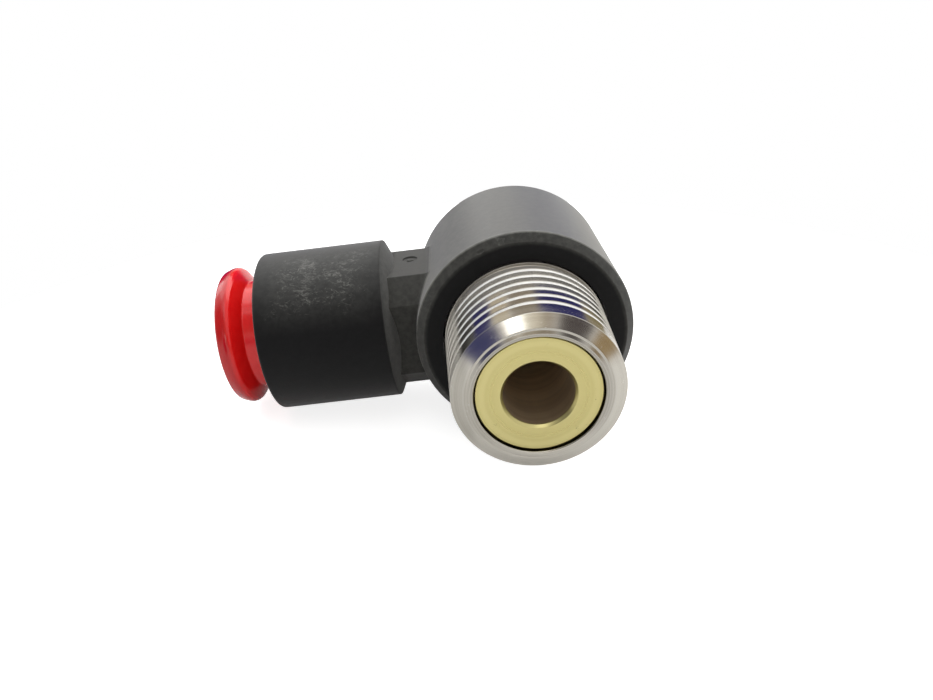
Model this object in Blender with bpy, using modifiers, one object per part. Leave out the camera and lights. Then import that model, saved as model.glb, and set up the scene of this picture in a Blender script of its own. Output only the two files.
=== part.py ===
"""Push-to-connect swivel elbow: a nylon body that turns on a threaded stem, with a tube socket to one side.

The stem lies along Y with its threaded nose towards -Y, and the tube goes in along X from the -X side.
Lengths are in metres. The origin lies under the middle of the fitting, on the surface that it lies on.
Stem stations are measured from the drum's front face towards the rear, socket stations from the stem axis
towards the tube's mouth.
"""

import math

import bmesh
import bpy
from mathutils import Matrix

OBJECT_NAME = "push_to_connect_elbow"

# Taper pipe thread, R 1/2: its diameter is given at the gauge plane behind the nose
THREAD_GAUGE_DIAMETER = 0.020955
THREAD_GAUGE_LENGTH = 0.0082
THREAD_PITCH = 0.001814
THREAD_TAPER = 0.03125
THREAD_GROOVE_DEPTH = 0.00075
THREAD_GROOVE_WIDTH = 0.0009
THREAD_GROOVE_FLOOR = 0.0002

# Threaded stud
STUD_REACH = 0.01474
STUD_COLLAR_DEPTH = 0.0026
NOSE_CHAMFER_LENGTH = 0.0009
NOSE_CHAMFER_HEIGHT = 0.0016
NOSE_LAND = 0.0016
RELIEF_LENGTH = 0.001
RELIEF_DEPTH = 0.0013

# Stem core: a bored bolt with a waist for the air gallery and a head behind the drum
CORE_RADIUS = 0.00741
CORE_RECESS = 0.0004
CORE_BORE_RADIUS = 0.00417
CORE_MOUTH_HEIGHT = 0.00033
CORE_MOUTH_LENGTH = 0.00095
CORE_WAIST_RADIUS = 0.0062
CORE_WAIST_LENGTH = 0.0068
CROSS_HOLE_RADIUS = 0.0022
DRILL_POINT_LENGTH = 0.0025
HEAD_RADIUS = 0.0111
HEAD_THICKNESS = 0.0025
HEAD_RECESS = 0.0004
HEAD_CHAMFER = 0.0004
HEX_ACROSS_FLATS = 0.008
HEX_DEPTH = 0.005

# Seals and bearing washers on the stem
ORING_GROOVE_DEPTH = 0.00146
ORING_GROOVE_WIDTH = 0.002
WASHER_THICKNESS = 0.0012

# Elbow body
DRUM_RADIUS = 0.01447
DRUM_LENGTH = 0.0236
DRUM_CHAMFER = 0.00108
NECK_WIDTH = 0.0165
NECK_CORNER_CUT = 0.0031
PASSAGE_RADIUS = 0.0044
SOCKET_WALL = 0.00143
SOCKET_BACK_STATION = 0.01837
SOCKET_CONE_SLOPE = 0.46
SOCKET_MOUTH_EDGE = 0.0003

# Tube socket and what it holds
TUBE_DIAMETER = 0.012
TUBE_STOP_STATION = 0.0196
TUBE_SEAT_LENGTH = 0.0034
TUBE_SEAT_CLEARANCE = 0.00012
TUBE_GRIP = 0.00025
SEAL_LENGTH = 0.00305
SEAL_HEIGHT = 0.00275
SEAL_LIP_LENGTH = 0.001
SEAL_LIP_HEIGHT = 0.0008
HOLDER_LENGTH = 0.0025
HOLDER_CLEARANCE = 0.0003
GRAB_THICKNESS = 0.0005
GRAB_RIM_WIDTH = 0.00125
GRAB_CONE_SLOPE = 0.7
GRAB_SLOT_COUNT = 12
GRAB_SLOT_WIDTH = 0.001
GRAB_SLOT_DEPTH = 0.0021
GUIDE_WALL = 0.0012
GUIDE_LIP_LENGTH = 0.0017
GUIDE_RECESS = 0.0003
GUIDE_POCKET_CLEARANCE = 0.00035

# Release collet
COLLET_CLEARANCE = 0.0002
COLLET_WALL = 0.0015
COLLET_NOSE_WALL = 0.0006
COLLET_BARB_HEIGHT = 0.0005
COLLET_BARB_RAMP = 0.0015
COLLET_BARB_LAND = 0.00045
COLLET_SLACK = 0.00025
COLLET_TRAVEL = 0.00285
COLLET_STOP_GAP = 0.0002
COLLET_TOOTH_GAP = 0.0001
COLLET_FLANGE_HEIGHT = 0.0024
COLLET_FLANGE_CONE = 0.0007
COLLET_FLANGE_LIP = 0.0021
COLLET_LIP_DRAFT = 0.0007
COLLET_LIP_ROUND = 0.0006
COLLET_MOUTH_CHAMFER = 0.0008
COLLET_SLOT_WIDTH = 0.0009
COLLET_SLOT_COUNT = 4

# Clearances
RUNNING_GAP = 0.0002
COLLAR_GAP = 0.00025
SEAT_GAP = 0.00015
ORING_GAP = 0.00005
GUIDE_LIP_GAP = 0.00015
CUT_MARGIN = 0.001

# Facets
HEX_SIDES = 6
SEGMENTS = 48
THREAD_SEGMENTS = 36
SECTION_SEGMENTS = 8
HOLE_SEGMENTS = 20
ROUND_STEPS = 3
MERGE_DISTANCE = 0.000001
SHARP_ANGLE = math.radians(30.0)


def thread_radius(station):
    """Radius of the thread's crest at a stem station."""
    from_gauge = station + STUD_REACH - THREAD_GAUGE_LENGTH
    return THREAD_GAUGE_DIAMETER / 2 + from_gauge * THREAD_TAPER


# Stem stations and radii that follow from the sizes above
TUBE_STATION = DRUM_LENGTH / 2
STUD_BORE_RADIUS = CORE_RADIUS + RUNNING_GAP
COLLAR_RADIUS = thread_radius(0.0)
BODY_BORE_RADIUS = CORE_RADIUS + RUNNING_GAP
FRONT_RECESS_RADIUS = COLLAR_RADIUS + COLLAR_GAP
REAR_RECESS_RADIUS = HEAD_RADIUS + COLLAR_GAP
FRONT_WASHER_STATION = STUD_COLLAR_DEPTH + SEAT_GAP
FRONT_FLOOR_STATION = FRONT_WASHER_STATION + WASHER_THICKNESS + SEAT_GAP
HEAD_REAR_STATION = DRUM_LENGTH - HEAD_RECESS
HEAD_FRONT_STATION = HEAD_REAR_STATION - HEAD_THICKNESS
REAR_WASHER_STATION = HEAD_FRONT_STATION - SEAT_GAP - WASHER_THICKNESS
REAR_FLOOR_STATION = REAR_WASHER_STATION - SEAT_GAP
FRONT_ORING_STATION = (FRONT_FLOOR_STATION + TUBE_STATION - PASSAGE_RADIUS) / 2
REAR_ORING_STATION = (REAR_FLOOR_STATION + TUBE_STATION + PASSAGE_RADIUS) / 2
ORING_FLOOR_RADIUS = CORE_RADIUS - ORING_GROOVE_DEPTH
ORING_SECTION_RADIUS = (BODY_BORE_RADIUS - ORING_FLOOR_RADIUS) / 2 - ORING_GAP
CORE_NOSE_STATION = CORE_RECESS - STUD_REACH
CORE_BORE_END = TUBE_STATION + CROSS_HOLE_RADIUS + MERGE_DISTANCE

# Socket stations and radii that follow from the sizes above
TUBE_RADIUS = TUBE_DIAMETER / 2
GRIP_RADIUS = TUBE_RADIUS - TUBE_GRIP
SEAL_RADIUS = TUBE_RADIUS + SEAL_HEIGHT
POCKET_RADIUS = SEAL_RADIUS + SEAT_GAP
COLLET_BORE_RADIUS = TUBE_RADIUS + COLLET_CLEARANCE
COLLET_NECK_RADIUS = COLLET_BORE_RADIUS + COLLET_WALL
COLLET_NOSE_RADIUS = COLLET_BORE_RADIUS + COLLET_NOSE_WALL
COLLET_BARB_RADIUS = COLLET_NECK_RADIUS + COLLET_BARB_HEIGHT
COLLET_FLANGE_RADIUS = COLLET_NECK_RADIUS + COLLET_FLANGE_HEIGHT
GUIDE_POCKET_RADIUS = COLLET_BARB_RADIUS + GUIDE_POCKET_CLEARANCE
GUIDE_RADIUS = GUIDE_POCKET_RADIUS + GUIDE_WALL
MOUTH_RADIUS = GUIDE_RADIUS + SEAT_GAP
SOCKET_RADIUS = MOUTH_RADIUS + SOCKET_WALL
GRAB_RIM_RADIUS = GUIDE_RADIUS - GRAB_RIM_WIDTH
SEAT_END_STATION = TUBE_STOP_STATION + TUBE_SEAT_LENGTH
SEAL_STATION = SEAT_END_STATION + SEAT_GAP
HOLDER_STATION = SEAL_STATION + SEAL_LENGTH + SEAT_GAP
HOLDER_END_STATION = HOLDER_STATION + HOLDER_LENGTH
SHOULDER_STATION = HOLDER_END_STATION + SEAT_GAP
GRAB_STATION = SHOULDER_STATION + SEAT_GAP
GRAB_END_STATION = GRAB_STATION + GRAB_THICKNESS
GUIDE_STATION = GRAB_END_STATION + SEAT_GAP


def grab_cone(station, radius):
    """Station of a cone from the grab ring's rim that leans towards the tube stop like its teeth."""
    return station - (GRAB_RIM_RADIUS - radius) * GRAB_CONE_SLOPE


COLLET_NOSE_STATION = grab_cone(GRAB_END_STATION, COLLET_NOSE_RADIUS) + COLLET_TRAVEL + COLLET_TOOTH_GAP
COLLET_BARB_STATION = COLLET_NOSE_STATION + COLLET_BARB_RAMP
COLLET_CATCH_STATION = COLLET_BARB_STATION + COLLET_BARB_LAND
GUIDE_LIP_STATION = COLLET_CATCH_STATION + COLLET_SLACK
GUIDE_END_STATION = GUIDE_LIP_STATION + GUIDE_LIP_LENGTH
MOUTH_STATION = GUIDE_END_STATION + GUIDE_RECESS
FLANGE_STATION = MOUTH_STATION + COLLET_TRAVEL + COLLET_STOP_GAP
FLANGE_RIDGE_STATION = FLANGE_STATION + COLLET_FLANGE_CONE
COLLET_FRONT_STATION = FLANGE_RIDGE_STATION + COLLET_FLANGE_LIP

# Where the stem axis lies: the origin is under the middle of the whole fitting
STEM_X = (COLLET_FRONT_STATION - DRUM_RADIUS) / 2
FACE_Y = (STUD_REACH - DRUM_LENGTH) / 2
AXIS_Z = DRUM_RADIUS


def clear_scene():
    for old in list(bpy.data.objects):
        bpy.data.objects.remove(old, do_unlink=True)


def new_collection(name):
    collection = bpy.data.collections.new(name)
    bpy.context.scene.collection.children.link(collection)
    return collection


def material(name, colour, roughness, metallic=0.0):
    made = bpy.data.materials.new(name)
    made.use_nodes = True
    shader = made.node_tree.nodes["Principled BSDF"]
    shader.inputs["Base Color"].default_value = (*colour, 1.0)
    shader.inputs["Roughness"].default_value = roughness
    shader.inputs["Metallic"].default_value = metallic
    return made


def axis_empty(name, location, rotation):
    """An empty whose local Z lies along one of the fitting's two axes."""
    empty = bpy.data.objects.new(name, None)
    empty.location = location
    empty.rotation_euler = rotation
    PARTS.objects.link(empty)
    return empty


def link_mesh(name, mesh, axis, collection):
    obj = bpy.data.objects.new(name, mesh)
    obj.parent = axis
    collection.objects.link(obj)
    return obj


def mark_cutter(obj):
    obj.hide_render = True
    obj.display_type = "WIRE"


def profile_mesh(name, profile, closed):
    """Edges through (radius, station) points in the XZ plane."""
    mesh = bpy.data.meshes.new(name)
    points = [(radius, 0.0, station) for radius, station in profile]
    edges = [(i, i + 1) for i in range(len(points) - 1)]
    if closed:
        edges.append((len(points) - 1, 0))
    mesh.from_pydata(points, edges, [])
    return mesh


def turned(name, profile, axis, collection, closed=True):
    """A profile turned round its axis. The profile goes down its outer side, so its faces look outwards."""
    obj = link_mesh(name, profile_mesh(name, profile, closed), axis, collection)
    screw = obj.modifiers.new("Turn", "SCREW")
    screw.axis = "Z"
    screw.steps = SEGMENTS
    screw.render_steps = SEGMENTS
    screw.use_merge_vertices = True
    screw.merge_threshold = MERGE_DISTANCE
    return obj


def turned_part(name, profile, axis):
    return turned(name, profile, axis, PARTS)


def turned_cutter(name, profile, axis):
    """A solid that reaches the axis, for cutting or joining."""
    obj = turned(name, profile, axis, CUTTERS, closed=False)
    mark_cutter(obj)
    return obj


def box_cutter(name, boxes, axis):
    """Boxes given as (size, middle, turn about Z) in one cutter."""
    mesh = bpy.data.meshes.new(name)
    shape = bmesh.new()
    for size, middle, turn in boxes:
        cube = bmesh.ops.create_cube(shape, size=1.0)["verts"]
        bmesh.ops.scale(shape, vec=size, verts=cube)
        bmesh.ops.translate(shape, vec=middle, verts=cube)
        bmesh.ops.rotate(shape, matrix=Matrix.Rotation(turn, 3, "Z"), verts=cube)
    shape.to_mesh(mesh)
    shape.free()
    obj = link_mesh(name, mesh, axis, CUTTERS)
    mark_cutter(obj)
    return obj


def cylinder_cutter(name, radius, length, sides, axis, middle, rotation):
    bpy.ops.mesh.primitive_cylinder_add(vertices=sides, radius=radius, depth=length)
    obj = bpy.context.object
    obj.name = name
    for collection in list(obj.users_collection):
        collection.objects.unlink(obj)
    CUTTERS.objects.link(obj)
    obj.parent = axis
    obj.location = middle
    obj.rotation_euler = rotation
    mark_cutter(obj)
    return obj


def combine(obj, other, operation):
    boolean = obj.modifiers.new(operation.title(), "BOOLEAN")
    boolean.operation = operation
    boolean.object = other


def evaluated_mesh(obj):
    bpy.context.view_layer.update()
    depsgraph = bpy.context.evaluated_depsgraph_get()
    return bpy.data.meshes.new_from_object(obj.evaluated_get(depsgraph))


def finish(obj, finish_material):
    """Applies the modifiers, shades the round faces smooth and gives the piece its material."""
    mesh = evaluated_mesh(obj)
    mesh.name = obj.name
    obj.modifiers.clear()
    obj.data = mesh
    mesh.shade_smooth()
    mesh.set_sharp_from_angle(angle=SHARP_ANGLE)
    mesh.materials.clear()
    mesh.materials.append(finish_material)


def thread_cutter():
    """The thread's groove as one capped coil, from the nose land into the relief behind the thread."""
    start = NOSE_CHAMFER_LENGTH + NOSE_LAND - STUD_REACH
    end = -RELIEF_LENGTH / 2
    turns = (end - start) / THREAD_PITCH
    flank = (THREAD_GROOVE_WIDTH - THREAD_GROOVE_FLOOR) / 2 / THREAD_GROOVE_DEPTH
    crest = thread_radius(start)
    floor = crest - THREAD_GROOVE_DEPTH
    top = crest + THREAD_GROOVE_DEPTH
    half_floor = THREAD_GROOVE_FLOOR / 2
    half_top = half_floor + flank * (top - floor)
    profile = [
        (top, start + half_top),
        (top, start - half_top),
        (floor, start - half_floor),
        (floor, start + half_floor),
    ]
    coil = turned("thread_groove", profile, STEM, CUTTERS)
    screw = coil.modifiers["Turn"]
    screw.angle = math.tau * turns
    screw.screw_offset = THREAD_PITCH * turns
    screw.steps = round(THREAD_SEGMENTS * turns)
    screw.render_steps = screw.steps
    mesh = evaluated_mesh(coil)
    coil.modifiers.clear()
    shape = bmesh.new()
    shape.from_mesh(mesh)
    bmesh.ops.holes_fill(shape, edges=[edge for edge in shape.edges if edge.is_boundary])
    for vert in shape.verts:
        radius = math.hypot(vert.co.x, vert.co.y)
        grown = (radius + (vert.co.z - start) * THREAD_TAPER) / radius
        vert.co.x *= grown
        vert.co.y *= grown
    bmesh.ops.recalc_face_normals(shape, faces=shape.faces)
    shape.to_mesh(mesh)
    shape.free()
    coil.data = mesh
    coil.rotation_euler = (0, 0, math.pi / 2)
    mark_cutter(coil)
    return coil


def make_threaded_stud():
    chamfer_station = NOSE_CHAMFER_LENGTH - STUD_REACH
    relief_radius = thread_radius(-RELIEF_LENGTH) - RELIEF_DEPTH
    profile = [
        (STUD_BORE_RADIUS, STUD_COLLAR_DEPTH),
        (COLLAR_RADIUS, STUD_COLLAR_DEPTH),
        (COLLAR_RADIUS, 0.0),
        (relief_radius, 0.0),
        (relief_radius, -RELIEF_LENGTH),
        (thread_radius(-RELIEF_LENGTH), -RELIEF_LENGTH),
        (thread_radius(chamfer_station), chamfer_station),
        (thread_radius(chamfer_station) - NOSE_CHAMFER_HEIGHT, -STUD_REACH),
        (STUD_BORE_RADIUS, -STUD_REACH),
    ]
    stud = turned_part("threaded_stud", profile, STEM)
    combine(stud, thread_cutter(), "DIFFERENCE")
    finish(stud, material("nickel_plate", (0.66, 0.63, 0.57), 0.22, 1.0))


def oring_groove(station):
    """The four corners of an O-ring groove, from its rear edge to its front edge."""
    rear = station + ORING_GROOVE_WIDTH / 2
    front = station - ORING_GROOVE_WIDTH / 2
    return [
        (CORE_RADIUS, rear),
        (ORING_FLOOR_RADIUS, rear),
        (ORING_FLOOR_RADIUS, front),
        (CORE_RADIUS, front),
    ]


def make_stem_core():
    waist_rear = TUBE_STATION + CORE_WAIST_LENGTH / 2
    waist_front = TUBE_STATION - CORE_WAIST_LENGTH / 2
    profile = [
        (0.0, HEAD_REAR_STATION),
        (HEAD_RADIUS - HEAD_CHAMFER, HEAD_REAR_STATION),
        (HEAD_RADIUS, HEAD_REAR_STATION - HEAD_CHAMFER),
        (HEAD_RADIUS, HEAD_FRONT_STATION),
        (CORE_RADIUS, HEAD_FRONT_STATION),
        *oring_groove(REAR_ORING_STATION),
        (CORE_RADIUS, waist_rear),
        (CORE_WAIST_RADIUS, waist_rear),
        (CORE_WAIST_RADIUS, waist_front),
        (CORE_RADIUS, waist_front),
        *oring_groove(FRONT_ORING_STATION),
        (CORE_RADIUS, CORE_NOSE_STATION),
        (CORE_BORE_RADIUS + CORE_MOUTH_HEIGHT, CORE_NOSE_STATION),
        (CORE_BORE_RADIUS, CORE_NOSE_STATION + CORE_MOUTH_LENGTH),
        (CORE_BORE_RADIUS, CORE_BORE_END),
        (0.0, CORE_BORE_END + DRILL_POINT_LENGTH),
    ]
    core = turned("stem_core", profile, STEM, PARTS, closed=False)
    hex_radius = HEX_ACROSS_FLATS / 2 / math.cos(math.pi / HEX_SIDES)
    hex_length = HEX_DEPTH + CUT_MARGIN
    hex_middle = (0, 0, HEAD_REAR_STATION - HEX_DEPTH + hex_length / 2)
    hex_key = cylinder_cutter("hex_key", hex_radius, hex_length, HEX_SIDES, STEM, hex_middle, (0, 0, 0))
    combine(core, hex_key, "DIFFERENCE")
    hole_length = 2 * CORE_RADIUS
    for name, turn in (("cross_hole_tube", (0, math.pi / 2, 0)), ("cross_hole_side", (math.pi / 2, 0, 0))):
        drill = cylinder_cutter(
            name, CROSS_HOLE_RADIUS, hole_length, HOLE_SEGMENTS, STEM, (0, 0, TUBE_STATION), turn
        )
        combine(core, drill, "DIFFERENCE")
    finish(core, material("brass", (0.66, 0.58, 0.27), 0.3, 1.0))


def make_stem_seal(name, station):
    bpy.ops.mesh.primitive_torus_add(
        major_radius=ORING_FLOOR_RADIUS + ORING_GAP + ORING_SECTION_RADIUS,
        minor_radius=ORING_SECTION_RADIUS,
        major_segments=SEGMENTS,
        minor_segments=SECTION_SEGMENTS,
    )
    ring = bpy.context.object
    ring.name = name
    for collection in list(ring.users_collection):
        collection.objects.unlink(ring)
    PARTS.objects.link(ring)
    ring.parent = STEM
    ring.location = (0, 0, station)
    finish(ring, material(name + "_rubber", (0.015, 0.015, 0.015), 0.5))


def make_thrust_washer(name, station, outer_radius):
    inner_radius = CORE_RADIUS + RUNNING_GAP
    profile = [
        (inner_radius, station + WASHER_THICKNESS),
        (outer_radius, station + WASHER_THICKNESS),
        (outer_radius, station),
        (inner_radius, station),
    ]
    washer = turned_part(name, profile, STEM)
    finish(washer, material(name + "_acetal", (0.8, 0.79, 0.75), 0.45))


def drum_blank():
    profile = [
        (0.0, DRUM_LENGTH),
        (DRUM_RADIUS - DRUM_CHAMFER, DRUM_LENGTH),
        (DRUM_RADIUS, DRUM_LENGTH - DRUM_CHAMFER),
        (DRUM_RADIUS, DRUM_CHAMFER),
        (DRUM_RADIUS - DRUM_CHAMFER, 0.0),
        (0.0, 0.0),
    ]
    return turned("elbow_body", profile, STEM, PARTS, closed=False)


def neck_blank():
    """A square bar from the stem axis into the socket, with its four long corners cut off."""
    length = TUBE_STOP_STATION
    mesh = bpy.data.meshes.new("neck")
    shape = bmesh.new()
    bmesh.ops.create_cube(shape, size=1.0)
    bmesh.ops.scale(shape, vec=(NECK_WIDTH, NECK_WIDTH, length), verts=shape.verts)
    bmesh.ops.translate(shape, vec=(0, 0, length / 2), verts=shape.verts)
    long_edges = [edge for edge in shape.edges if abs(edge.verts[0].co.z - edge.verts[1].co.z) > length / 2]
    bmesh.ops.bevel(shape, geom=long_edges, offset=NECK_CORNER_CUT, segments=1, affect="EDGES", profile=0.5)
    shape.to_mesh(mesh)
    shape.free()
    neck = link_mesh("neck", mesh, TUBE, CUTTERS)
    mark_cutter(neck)
    return neck


def socket_blank():
    """The tube socket's outside. Its back is a cone that ends inside the neck."""
    cone_radius = NECK_WIDTH / 2 - CUT_MARGIN
    cone_station = SOCKET_BACK_STATION - (SOCKET_RADIUS - cone_radius) * SOCKET_CONE_SLOPE
    profile = [
        (0.0, MOUTH_STATION),
        (SOCKET_RADIUS - SOCKET_MOUTH_EDGE, MOUTH_STATION),
        (SOCKET_RADIUS, MOUTH_STATION - SOCKET_MOUTH_EDGE),
        (SOCKET_RADIUS, SOCKET_BACK_STATION),
        (cone_radius, cone_station),
        (0.0, cone_station),
    ]
    return turned_cutter("socket", profile, TUBE)


def stem_cavity():
    profile = [
        (0.0, DRUM_LENGTH + CUT_MARGIN),
        (REAR_RECESS_RADIUS, DRUM_LENGTH + CUT_MARGIN),
        (REAR_RECESS_RADIUS, REAR_FLOOR_STATION),
        (BODY_BORE_RADIUS, REAR_FLOOR_STATION),
        (BODY_BORE_RADIUS, FRONT_FLOOR_STATION),
        (FRONT_RECESS_RADIUS, FRONT_FLOOR_STATION),
        (FRONT_RECESS_RADIUS, -CUT_MARGIN),
        (0.0, -CUT_MARGIN),
    ]
    return turned_cutter("stem_cavity", profile, STEM)


def tube_cavity():
    seat_radius = TUBE_RADIUS + TUBE_SEAT_CLEARANCE
    profile = [
        (0.0, MOUTH_STATION + CUT_MARGIN),
        (MOUTH_RADIUS, MOUTH_STATION + CUT_MARGIN),
        (MOUTH_RADIUS, SHOULDER_STATION),
        (POCKET_RADIUS, SHOULDER_STATION),
        (POCKET_RADIUS, SEAT_END_STATION),
        (seat_radius, SEAT_END_STATION),
        (seat_radius, TUBE_STOP_STATION),
        (PASSAGE_RADIUS, TUBE_STOP_STATION),
        (PASSAGE_RADIUS, 0.0),
        (0.0, 0.0),
    ]
    return turned_cutter("tube_cavity", profile, TUBE)


def make_elbow_body():
    body = drum_blank()
    combine(body, neck_blank(), "UNION")
    combine(body, socket_blank(), "UNION")
    combine(body, stem_cavity(), "DIFFERENCE")
    combine(body, tube_cavity(), "DIFFERENCE")
    finish(body, material("black_nylon", (0.03, 0.031, 0.033), 0.5))


def make_tube_seal():
    """A lip seal: a square back in the pocket and a lip that bears on the tube."""
    end = SEAL_STATION + SEAL_LENGTH
    middle = (SEAL_STATION + end) / 2
    back_radius = GRIP_RADIUS + SEAL_LIP_HEIGHT
    profile = [
        (back_radius, end),
        (SEAL_RADIUS, end),
        (SEAL_RADIUS, SEAL_STATION),
        (back_radius, SEAL_STATION),
        (GRIP_RADIUS, middle - SEAL_LIP_LENGTH / 2),
        (GRIP_RADIUS, middle + SEAL_LIP_LENGTH / 2),
    ]
    seal = turned_part("tube_seal", profile, TUBE)
    finish(seal, material("seal_rubber", (0.02, 0.02, 0.02), 0.55))


def make_grab_ring_holder():
    """A ring whose cone backs the grab ring's teeth."""
    bore_radius = TUBE_RADIUS + HOLDER_CLEARANCE
    profile = [
        (bore_radius, grab_cone(HOLDER_END_STATION, bore_radius)),
        (GRAB_RIM_RADIUS, HOLDER_END_STATION),
        (SEAL_RADIUS, HOLDER_END_STATION),
        (SEAL_RADIUS, HOLDER_STATION),
        (bore_radius, HOLDER_STATION),
    ]
    holder = turned_part("grab_ring_holder", profile, TUBE)
    finish(holder, material("holder_acetal", (0.78, 0.77, 0.72), 0.4))


def make_grab_ring():
    """A flat rim with slotted teeth that lean towards the tube stop."""
    profile = [
        (GRIP_RADIUS, grab_cone(GRAB_END_STATION, GRIP_RADIUS)),
        (GRAB_RIM_RADIUS, GRAB_END_STATION),
        (GUIDE_RADIUS, GRAB_END_STATION),
        (GUIDE_RADIUS, GRAB_STATION),
        (GRAB_RIM_RADIUS, GRAB_STATION),
        (GRIP_RADIUS, grab_cone(GRAB_STATION, GRIP_RADIUS)),
    ]
    ring = turned_part("grab_ring", profile, TUBE)
    low = grab_cone(GRAB_STATION, GRIP_RADIUS) - CUT_MARGIN
    high = GRAB_END_STATION + CUT_MARGIN
    inner = GRIP_RADIUS - CUT_MARGIN
    outer = GRIP_RADIUS + GRAB_SLOT_DEPTH
    size = (outer - inner, GRAB_SLOT_WIDTH, high - low)
    middle = ((inner + outer) / 2, 0, (low + high) / 2)
    turns = [math.tau * (i + 0.5) / GRAB_SLOT_COUNT for i in range(GRAB_SLOT_COUNT)]
    combine(ring, box_cutter("grab_slots", [(size, middle, turn) for turn in turns], TUBE), "DIFFERENCE")
    finish(ring, material("spring_steel", (0.55, 0.55, 0.56), 0.3, 1.0))


def make_collet_guide():
    """A ring pressed into the mouth. Its lip stops the collet's barbs."""
    lip_radius = COLLET_NECK_RADIUS + GUIDE_LIP_GAP
    profile = [
        (lip_radius, GUIDE_END_STATION),
        (GUIDE_RADIUS, GUIDE_END_STATION),
        (GUIDE_RADIUS, GUIDE_STATION),
        (GUIDE_POCKET_RADIUS, GUIDE_STATION),
        (GUIDE_POCKET_RADIUS, GUIDE_LIP_STATION),
        (lip_radius, GUIDE_LIP_STATION),
    ]
    guide = turned_part("collet_guide", profile, TUBE)
    finish(guide, material("guide_nylon", (0.025, 0.025, 0.027), 0.45))


def round_corner(radius, station, size):
    """An outer corner at a front face, as an arc from the face to the side."""
    angles = [math.pi / 2 * (1 - i / ROUND_STEPS) for i in range(ROUND_STEPS + 1)]
    middle_radius = radius - size
    middle_station = station - size
    return [
        (middle_radius + size * math.cos(angle), middle_station + size * math.sin(angle))
        for angle in angles
    ]


def make_release_collet():
    mouth_radius = COLLET_BORE_RADIUS + COLLET_MOUTH_CHAMFER
    lip_radius = COLLET_FLANGE_RADIUS - COLLET_LIP_DRAFT
    profile = [
        (COLLET_BORE_RADIUS, COLLET_FRONT_STATION - COLLET_MOUTH_CHAMFER),
        (mouth_radius, COLLET_FRONT_STATION),
        *round_corner(lip_radius, COLLET_FRONT_STATION, COLLET_LIP_ROUND),
        (COLLET_FLANGE_RADIUS, FLANGE_RIDGE_STATION),
        (COLLET_NECK_RADIUS, FLANGE_STATION),
        (COLLET_NECK_RADIUS, COLLET_CATCH_STATION),
        (COLLET_BARB_RADIUS, COLLET_CATCH_STATION),
        (COLLET_BARB_RADIUS, COLLET_BARB_STATION),
        (COLLET_NOSE_RADIUS, COLLET_NOSE_STATION),
        (COLLET_BORE_RADIUS, COLLET_NOSE_STATION),
    ]
    collet = turned_part("release_collet", profile, TUBE)
    low = COLLET_NOSE_STATION - CUT_MARGIN
    high = GUIDE_END_STATION
    inner = COLLET_BORE_RADIUS - CUT_MARGIN
    outer = COLLET_BARB_RADIUS + CUT_MARGIN
    size = (outer - inner, COLLET_SLOT_WIDTH, high - low)
    middle = ((inner + outer) / 2, 0, (low + high) / 2)
    turns = [math.tau * (i + 0.5) / COLLET_SLOT_COUNT for i in range(COLLET_SLOT_COUNT)]
    slots = box_cutter("collet_slots", [(size, middle, turn) for turn in turns], TUBE)
    combine(collet, slots, "DIFFERENCE")
    finish(collet, material("red_acetal", (0.7, 0.012, 0.012), 0.25))


clear_scene()
PARTS = new_collection(OBJECT_NAME)
CUTTERS = new_collection("cutters")
STEM = axis_empty("stem_axis", (STEM_X, FACE_Y, AXIS_Z), (-math.pi / 2, 0, 0))
TUBE = axis_empty("tube_axis", (STEM_X, FACE_Y + TUBE_STATION, AXIS_Z), (0, -math.pi / 2, 0))

make_threaded_stud()
make_stem_core()
make_stem_seal("stem_seal_front", FRONT_ORING_STATION)
make_stem_seal("stem_seal_rear", REAR_ORING_STATION)
make_thrust_washer("thrust_washer_front", FRONT_WASHER_STATION, COLLAR_RADIUS)
make_thrust_washer("thrust_washer_rear", REAR_WASHER_STATION, HEAD_RADIUS)
make_elbow_body()
make_tube_seal()
make_grab_ring_holder()
make_grab_ring()
make_collet_guide()
make_release_collet()
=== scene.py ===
# %% [markdown]
# # A push-to-connect swivel elbow
# A fitting like this joins a plastic air tube to a threaded port. A nickel-plated stud screws into the port,
# a black nylon body turns on the brass core inside it, and a red collet lets the tube go when it is pressed.
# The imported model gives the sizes, places and joints. This lesson dresses it: each piece that shows is made
# again with the rounded edges and fine thread of the real one, and every piece gets a finish made of nodes.

# %% frame
import math
from functools import reduce

import bmesh
import bpy
import numpy as np
from mathutils import Matrix, Vector


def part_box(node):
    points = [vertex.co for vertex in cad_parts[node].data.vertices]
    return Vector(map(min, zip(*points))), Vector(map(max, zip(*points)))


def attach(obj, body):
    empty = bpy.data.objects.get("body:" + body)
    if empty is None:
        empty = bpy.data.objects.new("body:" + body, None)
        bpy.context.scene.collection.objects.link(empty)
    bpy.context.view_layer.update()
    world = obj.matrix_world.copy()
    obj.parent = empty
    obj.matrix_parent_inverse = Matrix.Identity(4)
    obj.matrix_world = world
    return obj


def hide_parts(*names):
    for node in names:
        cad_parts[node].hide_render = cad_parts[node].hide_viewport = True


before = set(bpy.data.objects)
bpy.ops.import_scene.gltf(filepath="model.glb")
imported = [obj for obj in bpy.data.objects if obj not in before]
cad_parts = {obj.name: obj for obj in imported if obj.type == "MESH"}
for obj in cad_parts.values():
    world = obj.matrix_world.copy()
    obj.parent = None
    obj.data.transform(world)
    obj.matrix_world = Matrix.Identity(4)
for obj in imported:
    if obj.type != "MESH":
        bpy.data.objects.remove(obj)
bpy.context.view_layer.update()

# %% [markdown]
# ## The two axes
# Everything on this fitting is turned about one of two axes, the stem's or the tube's. Each axis gets a
# matrix that carries a shape drawn around Z to its place, so every profile can be written as plain (radius,
# station) pairs. Stations on the stem start at the drum's front face, those on the tube at the stem's axis.
# They are in millimetres, because that is how such parts are drawn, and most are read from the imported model.

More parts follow.
